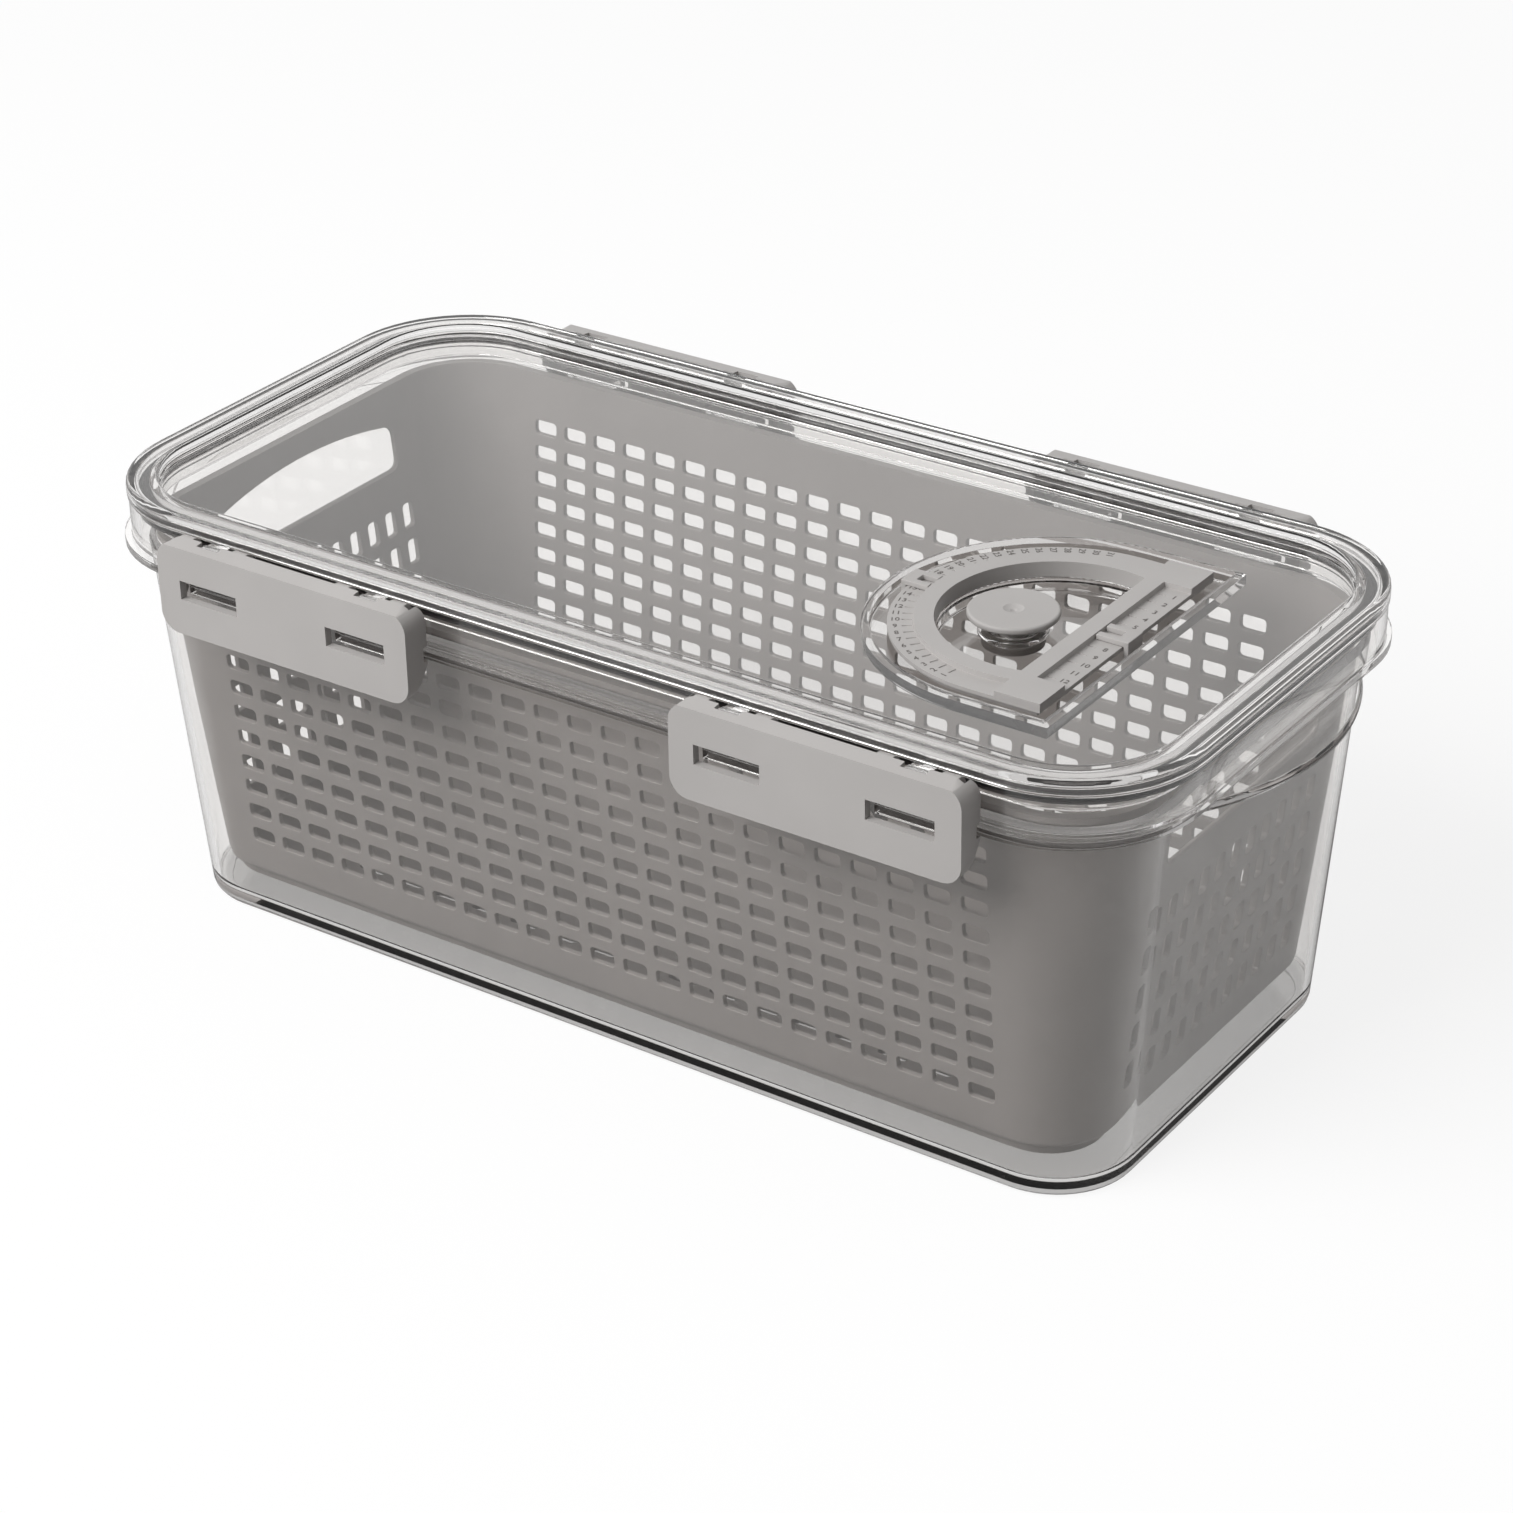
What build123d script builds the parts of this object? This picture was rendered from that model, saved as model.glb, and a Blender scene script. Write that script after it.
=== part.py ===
from build123d import *
import math
import os

os.makedirs("parts", exist_ok=True)

# Sizes in millimetres. X runs along the keeper, -Y is its front, Z is up.
# The origin is on the table, under the middle of the keeper.

# Container: a tapered clear tub with a wider collar that takes the lid
neck_length = 306.2
neck_width = 145.0
neck_radius = 26.0
neck_height = 106.0
end_draft = 7.8
side_draft = 6.7
base_radius = 22.0
wall = 2.0
base_round = 2.5
foot_ring = 5.0
foot_height = 1.0
floor_thickness = 2.4
floor_round = 3.0

# Collar, its outer flange and the lips at the two ends
collar_height = 12.6
collar_wall = 2.2
collar_step_end = 6.7
collar_step_side = 4.8
collar_radius = 34.9
flange_thickness = 2.2
flange_side = 2.4
flange_end = 0.3
lip_reach = 10.2
lip_half_width = 47.8
lip_thickness = 2.4
lip_overlap = 0.4

# Basket: a perforated liner that stands on the container floor
basket_stand = 7.6
basket_rise = 4.2
basket_end_gap_low = 4.61
basket_side_gap_low = 2.6
basket_end_gap_high = 1.4
basket_side_gap_high = 0.7
basket_radius_low = 18.0
basket_radius_high = 22.5
basket_wall = 1.7
basket_floor = 2.0
basket_round = 3.0
rim_lip = 0.9
rim_gap = 0.4

# Basket openings
hole_long = 7.4
hole_short = 4.2
side_column_pitch = 10.4
side_row_pitch = 7.79
side_row_first = 24.2
side_row_margin = 11.0
end_column_pitch = 8.0
end_row_pitch = 11.15
end_row_first = 26.0
end_row_margin = 6.0
grip_half_width = 38.0
grip_bottom_drop = 20.6
grip_side_drop = 7.6
grip_middle_drop = 2.6
drain_long = 9.0
drain_short = 3.2
drain_pitch_x = 13.0
drain_pitch_y = 11.4
drain_margin = 12.0

# Basket skirt and feet
skirt_height = 2.8
skirt_inset = 3.2
skirt_wall = 1.8
skirt_gap = 88.0
basket_foot_radius = 6.0
basket_foot_end = 31.5
basket_foot_side = 23.9

# Lid
lid_overhang = 0.4
lid_edge_height = 4.5
rim_width = 8.7
rim_step = 2.8
panel_thickness = 2.2
plug_wall = 2.2
plug_depth = 6.6
channel_depth = 2.0
channel_gap = 0.2
gasket_height = 2.8
gasket_gap = 0.3
gasket_drop = 0.2
gasket_shelf = 1.2

# Latches
latch_from_corner = 2.9
latch_length = 82.0
latch_height = 25.5
latch_top_drop = 2.4
latch_stand = 9.0
latch_corner = 5.5
latch_plate = 2.3
latch_foot = 3.4
latch_cheek = 2.4
latch_bevel_run = 5.0
latch_bevel_drop = 0.7
latch_top_wall = 1.2
latch_taper_high = 9.0
latch_taper_low = 1.5
latch_notch_gap = 0.4
latch_notch_room = 0.8
slot_spacing = 24.3
slot_length = 19.0
slot_height = 5.4
slot_drop = 0.7
lug_end_gap = 0.75
lug_bottom_gap = 0.6
lug_top_gap = 0.8
lug_recess = 1.2

# Latch hinges
pin_radius = 1.0
pin_length = 74.0
pin_gap = 0.05
knuckle_radius = 2.9
knuckle_width = 4.4
knuckle_arm = 1.0
knuckle_places = (-34.8, -17.0, 17.0, 34.8)
ear_radius = 1.9
ear_width = 6.0
ear_neck = 1.5
ear_places = (-26.0, 26.0)
ear_side_gap = 0.5
ear_collar_gap = 0.35
hinge_gap = 0.8

# Date dial
dial_from_end = 64.6
plate_radius = 42.0
plate_length = 20.0
plate_thickness = 2.8
plate_undercut = 1.6
plate_edge_thickness = 1.1
ring_outer = 35.5
ring_inner = 30.5
ring_height = 1.5
bar_start = 7.3
bar_width = 5.0
block_width = 11.5
pocket_gap = 4.5
pocket_side_gap = 3.9
pocket_depth = 3.3
pocket_wall = 2.0
well_depth = 3.6
well_gap = 0.3
day_marks = 31
month_marks = 12
mark_width = 0.5
mark_depth = 0.3
mark_length = 2.6
day_span = 156.0
month_span = 53.0
pointer_width = 7.2
pointer_slot = 3.0
pointer_height = 1.4
pointer_gap = 0.3
pointer_lift = 0.1
pointer_edge = 1.4
pointer_bridge = 1.8

# Air vent
vent_from_dial = 12.8
knob_radius = 11.7
knob_thickness = 1.9
knob_drop = 3.1
knob_round = 0.7
dimple_radius = 2.4
dimple_floor_radius = 0.5
dimple_depth = 0.9
stem_radius = 3.8
stem_gap = 0.1
peg_radius = 2.4
seat_outer = 9.0
seat_inner = 6.5
seat_height = 1.3
seal_radius = 8.0
seal_thickness = 2.0
clip_radius = 5.0
clip_thickness = 1.2
peg_end = 0.8
stack_gap = 0.05

# How far a cutting shape runs past what it cuts
overrun = 2.0

# Heights that follow from the sizes above
floor_top = foot_height + floor_thickness
collar_top = neck_height + collar_height
ledge_top = neck_height + flange_thickness
basket_bottom = floor_top + basket_stand
basket_top = neck_height + basket_rise
lid_top = collar_top + lid_edge_height
panel_top = lid_top - rim_step
panel_bottom = panel_top - panel_thickness
plug_bottom = collar_top - plug_depth
gasket_bottom = collar_top - gasket_drop - gasket_height
latch_top = lid_top - latch_top_drop
latch_bottom = latch_top - latch_height
slot_bottom = neck_height - slot_drop
slot_top = slot_bottom + slot_height
pin_height = latch_top - knuckle_radius
pocket_floor = panel_top - pocket_depth
plate_top = pocket_floor + plate_thickness
ring_top = plate_top + ring_height
well_floor = pocket_floor - well_depth
well_bottom = well_floor - pocket_wall
knob_top = lid_top - knob_drop

# Outlines that follow, each a length, a width and a corner radius
base_length = neck_length - 2 * end_draft
base_width = neck_width - 2 * side_draft
container_low = (base_length, base_width, base_radius)
container_high = (neck_length, neck_width, neck_radius)
collar_length = neck_length + 2 * collar_step_end
collar_width = neck_width + 2 * collar_step_side
collar_size = (collar_length, collar_width, collar_radius)
lid_length = collar_length + 2 * lid_overhang
lid_width = collar_width + 2 * lid_overhang
lid_radius = collar_radius + lid_overhang
lid_size = (lid_length, lid_width, lid_radius)
bottom_share = basket_bottom / neck_height
inner_length = base_length + (neck_length - base_length) * bottom_share - 2 * wall
inner_width = base_width + (neck_width - base_width) * bottom_share - 2 * wall
basket_length_low = inner_length - 2 * basket_end_gap_low
basket_width_low = inner_width - 2 * basket_side_gap_low
basket_length_high = neck_length - 2 * wall - 2 * basket_end_gap_high
basket_width_high = neck_width - 2 * wall - 2 * basket_side_gap_high
basket_low = (basket_length_low, basket_width_low, basket_radius_low)
basket_high = (basket_length_high, basket_width_high, basket_radius_high)

# Places that follow
lid_edge = lid_width / 2
flange_edge = collar_width / 2 + flange_side
pin_reach = lid_edge + hinge_gap + knuckle_radius
latch_reach = lid_edge + latch_stand
latch_x = lid_length / 2 - lid_radius - latch_length / 2 - latch_from_corner
dial_x = lid_length / 2 - dial_from_end
plate_side = dial_x + plate_length
bar_inner = dial_x + bar_start
bar_outer = bar_inner + bar_width
vent_x = dial_x - vent_from_dial
basket_foot_x = basket_length_low / 2 - basket_foot_end
basket_foot_y = basket_width_low / 2 - basket_foot_side


def block(x0, x1, y0, y1, z0, z1):
    """A box between two corners."""
    return Pos((x0 + x1) / 2, (y0 + y1) / 2, (z0 + z1) / 2) * Box(x1 - x0, y1 - y0, z1 - z0)


def slab(length, width, radius, z0, z1):
    """An upright prism over a rounded rectangle."""
    return extrude(Pos(0, 0, z0) * RectangleRounded(length, width, radius), z1 - z0)


def inset_slab(size, inset, z0, z1):
    """A prism over a rounded rectangle that is drawn in by an inset."""
    length, width, radius = size
    return slab(length - 2 * inset, width - 2 * inset, radius - inset, z0, z1)


def tapered(low, high, z_low, z_high, inset, z0, z1):
    """A tapered prism, from the outlines at two heights, drawn in by an inset."""
    faces = []
    for z in (z0, z1):
        share = (z - z_low) / (z_high - z_low)
        length, width, radius = [a + (b - a) * share for a, b in zip(low, high)]
        outline = RectangleRounded(length - 2 * inset, width - 2 * inset, radius - inset)
        faces.append(Pos(0, 0, z) * outline)
    return loft(faces, ruled=True)


def round_bottom(shape, radius):
    """Round the lowest edges of a tapered prism."""
    edges = shape.edges().group_by(Axis.Z)[0]
    return fillet(edges, radius)


def side_profile(points, x0, x1):
    """Extrude an outline, given as (y, z) points, along X."""
    outline = make_face(Polyline(*[(x0, y, z) for y, z in points], close=True))
    return extrude(outline, x1 - x0, dir=(1, 0, 0))


def pin_rod(radius, x0, x1):
    """A round bar along the hinge line of the rear latches."""
    rod = Cylinder(radius, x1 - x0, rotation=(0, 90, 0))
    return Pos((x0 + x1) / 2, pin_reach, pin_height) * rod


def cut_circle(radius, side):
    """A circle about the dial centre, cut off at a straight side."""
    width = side - dial_x + radius
    return (Pos(dial_x, 0) * Circle(radius)) & (Pos(side - width / 2, 0) * Rectangle(width, 2 * radius))


def d_shape(radius, side):
    """The dial outline: a half circle that runs straight on to a flat side."""
    straight = Pos((dial_x + side) / 2, 0) * Rectangle(side - dial_x, 2 * radius)
    return cut_circle(radius, side) + straight


def raise_up(sketch, z0, z1):
    """Extrude a flat outline between two heights."""
    return extrude(Pos(0, 0, z0) * sketch, z1 - z0)


def make_container():
    """The clear tub: tapered walls, collar, flange, end lips and latch lugs."""
    tub = tapered(container_low, container_high, 0, neck_height, 0, 0, neck_height)
    tub = round_bottom(tub, base_round)
    tub += slab(*collar_size, neck_height, collar_top)
    tub += slab(collar_length + 2 * flange_end, collar_width + 2 * flange_side,
                collar_radius, neck_height, ledge_top)

    lip_tip = collar_length / 2 + lip_reach
    lip_depth = lip_tip - neck_length / 2
    lip_radius = (lip_half_width ** 2 + lip_depth ** 2) / (2 * lip_depth)
    lip_top = neck_height + lip_overlap
    for side in (-1, 1):
        disc = Pos(side * (lip_tip - lip_radius), 0, lip_top - lip_thickness / 2)
        tub += disc * Cylinder(lip_radius, lip_thickness)

    lug_z0 = slot_bottom + lug_bottom_gap
    lug_z1 = slot_top - lug_top_gap
    lug_y0 = collar_width / 2 - collar_wall / 2
    lug_y1 = latch_reach - lug_recess
    lug_half = slot_length / 2 - lug_end_gap
    slope = (lug_z1 - lug_z0) / 2
    for x in latch_slot_places():
        lug = side_profile([(lug_y0, lug_z0), (lug_y1, lug_z0), (lug_y1, lug_z1 - slope),
                            (lug_y1 - slope, lug_z1), (lug_y0, lug_z1)], x - lug_half, x + lug_half)
        tub += lug
        tub += mirror(lug, about=Plane.XZ)

    cavity = tapered(container_low, container_high, 0, neck_height, wall, floor_top, ledge_top)
    tub -= round_bottom(cavity, floor_round)
    tub -= inset_slab(collar_size, collar_wall, ledge_top, collar_top)
    tub -= inset_slab(container_low, foot_ring, 0, foot_height)
    return tub


def latch_slot_places():
    """Where the latch slots, and the lugs in them, lie along X."""
    return [side * latch_x + spot * slot_spacing for side in (-1, 1) for spot in (-1, 1)]


def across(room, pitch):
    """Centres at an even pitch about zero, as many as a stretch has room for."""
    count = int(room / pitch) + 1
    return [(i - (count - 1) / 2) * pitch for i in range(count)]


def upwards(first, last, pitch):
    """Centres at an even pitch from a first height to a last one."""
    count = int((last - first) / pitch) + 1
    return [first + i * pitch for i in range(count)]


def basket_feet():
    """Where the feet under the basket stand."""
    return [(x, y) for x in (-basket_foot_x, 0, basket_foot_x) for y in (-basket_foot_y, basket_foot_y)]


def cutters(places, size):
    """Boxes of one size at each place."""
    return Compound(children=[Pos(*place) * Box(*size) for place in places])


def basket_cutters():
    """The shapes that cut the holes, slots and drain slots of the basket."""
    through_x = basket_length_high + 2 * rim_lip + overrun
    through_y = basket_width_high + 2 * rim_lip + overrun
    flat_length = basket_length_low - 2 * basket_radius_low
    flat_width = basket_width_low - 2 * basket_radius_low
    side_x = across(flat_length - hole_long, side_column_pitch)
    side_z = upwards(side_row_first, neck_height - side_row_margin, side_row_pitch)
    end_y = across(flat_width - hole_short, end_column_pitch)
    end_z = upwards(end_row_first, neck_height - grip_bottom_drop - end_row_margin, end_row_pitch)
    drain_x = across(flat_length - 2 * drain_margin, drain_pitch_x)
    drain_y = across(basket_width_low - 2 * drain_margin - drain_short, drain_pitch_y)

    side = cutters([(x, 0, z) for x in side_x for z in side_z], (hole_long, through_y, hole_short))
    end = cutters([(0, y, z) for y in end_y for z in end_z], (through_x, hole_short, hole_long))
    clear = basket_foot_radius + (drain_long + drain_short) / 2
    open_places = [(x, y, basket_bottom) for x in drain_x for y in drain_y
                   if min(math.hypot(x - a, y - b) for a, b in basket_feet()) > clear]
    drains = cutters(open_places, (drain_long, drain_short, 2 * basket_floor + overrun))
    return side, end, drains


def make_basket():
    """The liner: tapered perforated walls, grip openings, skirt and feet."""
    body = tapered(basket_low, basket_high, basket_bottom, basket_top, 0, basket_bottom, basket_top)
    body = round_bottom(body, basket_round)
    body += inset_slab(basket_high, -rim_lip, ledge_top + rim_gap, basket_top)

    rail_top = basket_bottom + basket_floor / 2
    rail_bottom = basket_bottom - skirt_height
    rail = inset_slab(basket_low, skirt_inset, rail_bottom, rail_top)
    rail -= inset_slab(basket_low, skirt_inset + skirt_wall, rail_bottom, rail_top)
    rail -= block(-skirt_gap / 2, skirt_gap / 2, -basket_width_low, basket_width_low, rail_bottom, rail_top)
    body += rail
    for x, y in basket_feet():
        foot = Cylinder(basket_foot_radius, rail_top - floor_top)
        body += Pos(x, y, (rail_top + floor_top) / 2) * foot

    inside_floor = basket_bottom + basket_floor
    body -= tapered(basket_low, basket_high, basket_bottom, basket_top, basket_wall, inside_floor, basket_top)
    for cutter in basket_cutters():
        body -= cutter

    grip_bottom = neck_height - grip_bottom_drop
    grip_side_top = neck_height - grip_side_drop
    grip_middle_top = neck_height - grip_middle_drop
    sides = Polyline((-grip_half_width, grip_side_top), (-grip_half_width, grip_bottom),
                     (grip_half_width, grip_bottom), (grip_half_width, grip_side_top))
    arch = ThreePointArc((grip_half_width, grip_side_top), (0, grip_middle_top),
                         (-grip_half_width, grip_side_top))
    grip = extrude(Plane.YZ * make_face(sides + arch), basket_length_high, both=True)
    return body - grip


def make_ear(x):
    """One hinge ear of the lid, for a rear latch."""
    x0 = x - ear_width / 2
    x1 = x + ear_width / 2
    neck_top = pin_height + ear_neck
    ear = pin_rod(ear_radius, x0, x1)
    ear += block(x0, x1, collar_width / 2 + ear_collar_gap, pin_reach, pin_height - ear_radius / 2, neck_top)
    ear += block(x0, x1, lid_edge - ear_radius, pin_reach, collar_top, neck_top)
    return ear - pin_rod(pin_radius + pin_gap, x0, x1)


def make_lid():
    """The clear lid: raised rim, gasket channel, plug, hinge ears and the dial pocket."""
    lid = slab(*lid_size, collar_top, lid_top)
    lid -= inset_slab(lid_size, rim_width, panel_top, lid_top)
    plug_inset = rim_width - plug_wall
    lid += inset_slab(lid_size, plug_inset, plug_bottom, collar_top)
    collar_inset = lid_overhang + collar_wall
    channel = inset_slab(lid_size, collar_inset + channel_gap, collar_top, collar_top + channel_depth)
    lid -= channel - inset_slab(lid_size, plug_inset, collar_top, collar_top + channel_depth)
    shelf_top = gasket_bottom - stack_gap
    lid += inset_slab(lid_size, plug_inset - gasket_shelf, shelf_top - gasket_shelf, shelf_top)
    lid -= inset_slab(lid_size, rim_width, plug_bottom, panel_bottom)

    pocket = d_shape(plate_radius + pocket_gap, plate_side + pocket_side_gap)
    pocket_outer = d_shape(plate_radius + pocket_gap + pocket_wall,
                           plate_side + pocket_side_gap + pocket_wall)
    well = cut_circle(ring_inner - well_gap, bar_inner - well_gap)
    well_outer = cut_circle(ring_inner - well_gap + pocket_wall, bar_inner - well_gap + pocket_wall)
    lid += raise_up(pocket_outer, pocket_floor - pocket_wall, panel_bottom)
    lid += raise_up(well_outer, well_bottom, pocket_floor - pocket_wall)
    lid -= raise_up(pocket, pocket_floor, panel_top)
    lid -= raise_up(well, well_floor, pocket_floor)
    seat_place = Pos(vent_x, 0, well_floor + seat_height / 2)
    lid += seat_place * (Cylinder(seat_outer, seat_height) - Cylinder(seat_inner, seat_height))
    lid -= Pos(vent_x, 0, well_floor - pocket_wall / 2) * Cylinder(stem_radius + stem_gap, pocket_wall)

    for side in (-1, 1):
        for spot in ear_places:
            ear = make_ear(side * latch_x + spot)
            lid += ear
            lid += mirror(ear, about=Plane.XZ)
    return lid


def make_gasket():
    """The soft ring round the plug, with two sealing ribs."""
    plug_inset = rim_width - plug_wall
    collar_inset = lid_overhang + collar_wall
    z0 = gasket_bottom
    z1 = gasket_bottom + gasket_height
    inner = plug_inset - stack_gap
    outer = collar_inset + gasket_gap
    rib_reach = (inner - outer) / 3
    rib_height = gasket_height / 4
    ring = inset_slab(lid_size, outer + rib_reach, z0, z1)
    for share in (0.25, 0.75):
        middle = z0 + gasket_height * share
        ring += inset_slab(lid_size, outer, middle - rib_height / 2, middle + rib_height / 2)
    return ring - inset_slab(lid_size, inner, z0, z1)


def make_latch():
    """A rear latch about x = 0: plate, cheeks, slots and hinge knuckles."""
    half = latch_length / 2
    face = latch_reach
    inner = pin_reach - knuckle_radius
    bevel_edge = face - latch_bevel_run
    bevel_low = latch_top - latch_bevel_drop
    notch = flange_edge + latch_notch_gap
    notch_low = neck_height - latch_notch_room
    notch_high = ledge_top + latch_notch_room
    outline = Polyline((bevel_edge, latch_top), (face, bevel_low), (face, latch_bottom),
                       (face - latch_foot, latch_bottom), (face - latch_foot, latch_bottom + latch_taper_low),
                       (inner, latch_bottom + latch_taper_high), (inner, notch_low), (notch, notch_low),
                       (notch, notch_high), (inner, notch_high), (inner, pin_height))
    crown = CenterArc((pin_reach, pin_height), knuckle_radius, 90, 90)
    top = Line((pin_reach, latch_top), (bevel_edge, latch_top))
    section = Plane.YZ * make_face(outline + crown + top)
    latch = extrude(section, half, both=True)

    cavity = block(-half + latch_cheek, half - latch_cheek, 0, face - latch_plate, 0, 2 * latch_top)
    top_wall = side_profile([(bevel_edge, latch_top), (face, bevel_low), (face, bevel_low - latch_top_wall),
                             (bevel_edge, latch_top - latch_top_wall)],
                            -half + latch_cheek, half - latch_cheek)
    knuckles = None
    for x in knuckle_places:
        x0 = x - knuckle_width / 2
        x1 = x + knuckle_width / 2
        piece = pin_rod(knuckle_radius, x0, x1)
        piece += block(x0, x1, pin_reach, face - latch_plate / 2,
                       pin_height - knuckle_radius, pin_height + knuckle_arm)
        knuckles = piece if knuckles is None else knuckles + piece
    latch = latch - cavity + top_wall + knuckles

    for x in ear_places:
        reach = ear_width / 2 + ear_side_gap
        latch -= block(x - reach, x + reach, 0, pin_reach + ear_radius + ear_side_gap,
                       pin_height, 2 * latch_top)
    for x in (-slot_spacing, slot_spacing):
        reach = slot_length / 2
        latch -= block(x - reach, x + reach, 0, 2 * face, slot_bottom, slot_top)
    latch -= pin_rod(pin_radius + pin_gap, -pin_length / 2 - pin_gap, pin_length / 2 + pin_gap)

    front = Plane((0, 0, (latch_bottom + latch_top) / 2), x_dir=(1, 0, 0), z_dir=(0, -1, 0))
    window = extrude(front * RectangleRounded(latch_length, latch_height, latch_corner), 2 * face, both=True)
    return latch & window


def make_pin():
    """The pin of a rear latch about x = 0."""
    return pin_rod(pin_radius, -pin_length / 2, pin_length / 2)


def make_dial_plate():
    """The date dial: a D-shaped plate with a raised ring, bar and corner blocks."""
    foot = d_shape(plate_radius - plate_undercut, plate_side - plate_undercut)
    plate = raise_up(foot, pocket_floor, plate_top)
    plate += raise_up(d_shape(plate_radius, plate_side), plate_top - plate_edge_thickness, plate_top)
    raised = cut_circle(ring_outer, bar_outer)
    raised += Pos((bar_inner + bar_outer) / 2, 0) * Rectangle(bar_width, 2 * plate_radius)
    for side in (-1, 1):
        place = Pos((bar_inner + plate_side) / 2, side * (plate_radius - block_width / 2))
        raised += place * Rectangle(plate_side - bar_inner, block_width)
    plate += raise_up(raised, plate_top, ring_top)
    plate -= raise_up(cut_circle(ring_inner, bar_inner), pocket_floor, ring_top)

    marks = []
    mark = Box(mark_length, mark_width, 2 * mark_depth)
    mark_start = pointer_gap + mark_length / 2
    for i in range(day_marks):
        angle = 180 + (i / (day_marks - 1) - 0.5) * day_span
        place = Pos(dial_x, 0, 0) * Rot(0, 0, angle) * Pos(ring_outer + mark_start, 0, plate_top)
        marks.append(place * mark)
    for i in range(month_marks):
        y = (i / (month_marks - 1) - 0.5) * month_span
        marks.append(Pos(bar_outer + mark_start, y, plate_top) * mark)
    return plate - Compound(children=marks)


def make_day_pointer():
    """The day pointer: two prongs over the graduated ring, hooked on its edge."""
    z0 = plate_top + pointer_lift
    z1 = plate_top + pointer_lift + pointer_height
    inner = ring_outer + pointer_gap
    edge = plate_radius + pointer_gap
    outer = edge + pointer_edge
    top = Cylinder(outer, z1 - z0) - Cylinder(inner, z1 - z0)
    hook = Cylinder(outer, z1 - pocket_floor) - Cylinder(edge, z1 - pocket_floor)
    pointer = Pos(dial_x, 0, (z0 + z1) / 2) * top
    pointer += Pos(dial_x, 0, (z1 + pocket_floor) / 2 + pointer_lift) * hook
    pointer &= block(dial_x - 2 * outer, dial_x, -pointer_width / 2, pointer_width / 2, 0, z1)
    slot_end = dial_x - plate_radius + pointer_bridge
    return pointer - block(slot_end, dial_x, -pointer_slot / 2, pointer_slot / 2, 0, z1)


def make_month_pointer():
    """The month pointer: two prongs over the graduated strip, hooked on its edge."""
    z0 = plate_top + pointer_lift
    z1 = plate_top + pointer_lift + pointer_height
    edge = plate_side + pointer_gap
    half = pointer_width / 2
    pointer = block(bar_outer + pointer_gap, edge + pointer_edge, -half, half, z0, z1)
    pointer += block(edge, edge + pointer_edge, -half, half, pocket_floor + pointer_lift, z1)
    slot_end = plate_side - pointer_bridge
    return pointer - block(bar_outer, slot_end, -pointer_slot / 2, pointer_slot / 2, z0, z1)


def make_vent_knob():
    """The push-pull knob: a flat cap with a dimple on a stem."""
    cap_bottom = knob_top - knob_thickness
    cap = Cylinder(knob_radius, knob_thickness)
    cap = fillet(cap.edges(), knob_round)
    knob = Pos(0, 0, cap_bottom + knob_thickness / 2) * cap
    shoulder = well_bottom - stack_gap
    peg_bottom = shoulder - seal_thickness - clip_thickness - 2 * stack_gap - peg_end
    knob += Pos(0, 0, (cap_bottom + shoulder) / 2 + knob_round / 2) * Cylinder(
        stem_radius, cap_bottom - shoulder + knob_round)
    knob += Pos(0, 0, (shoulder + peg_bottom) / 2) * Cylinder(peg_radius, shoulder - peg_bottom)
    dimple = Cone(dimple_floor_radius, dimple_radius, 2 * dimple_depth)
    knob -= Pos(0, 0, knob_top) * dimple
    return Pos(vent_x, 0, 0) * knob


def washer(outer, inner, z0, z1):
    """A flat ring about the vent stem."""
    ring = Cylinder(outer, z1 - z0) - Cylinder(inner, z1 - z0)
    return Pos(vent_x, 0, (z0 + z1) / 2) * ring


def make_vent_seal():
    """The soft disc that closes the vent from below."""
    top = well_bottom - stack_gap
    return washer(seal_radius, peg_radius + stack_gap, top - seal_thickness, top)


def make_vent_clip():
    """The push-on clip that holds the seal on the stem."""
    top = well_bottom - 2 * stack_gap - seal_thickness
    return washer(clip_radius, peg_radius + stack_gap, top - clip_thickness, top)


def write(name, shape):
    """Save one piece under its name."""
    solids = shape.solids()
    whole = solids[0] if len(solids) == 1 else Compound(children=list(solids))
    export_step(whole, f"parts/{name}.step")


write("container", make_container())
write("basket", make_basket())
write("lid", make_lid())
write("lid_gasket", make_gasket())
write("date_dial_plate", make_dial_plate())
write("day_pointer", make_day_pointer())
write("month_pointer", make_month_pointer())
write("vent_knob", make_vent_knob())
write("vent_seal", make_vent_seal())
write("vent_clip", make_vent_clip())

latch = make_latch()
pin = make_pin()
for row, turn in (("back", 0), ("front", 1)):
    for column, x in (("left", -latch_x), ("right", latch_x)):
        for name, piece in (("latch", latch), ("latch_pin", pin)):
            placed = mirror(piece, about=Plane.XZ) if turn else piece
            write(f"{name}_{row}_{column}", Pos(x, 0, 0) * placed)
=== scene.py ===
import math

import bmesh
import bpy
from mathutils import Matrix, Vector


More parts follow.
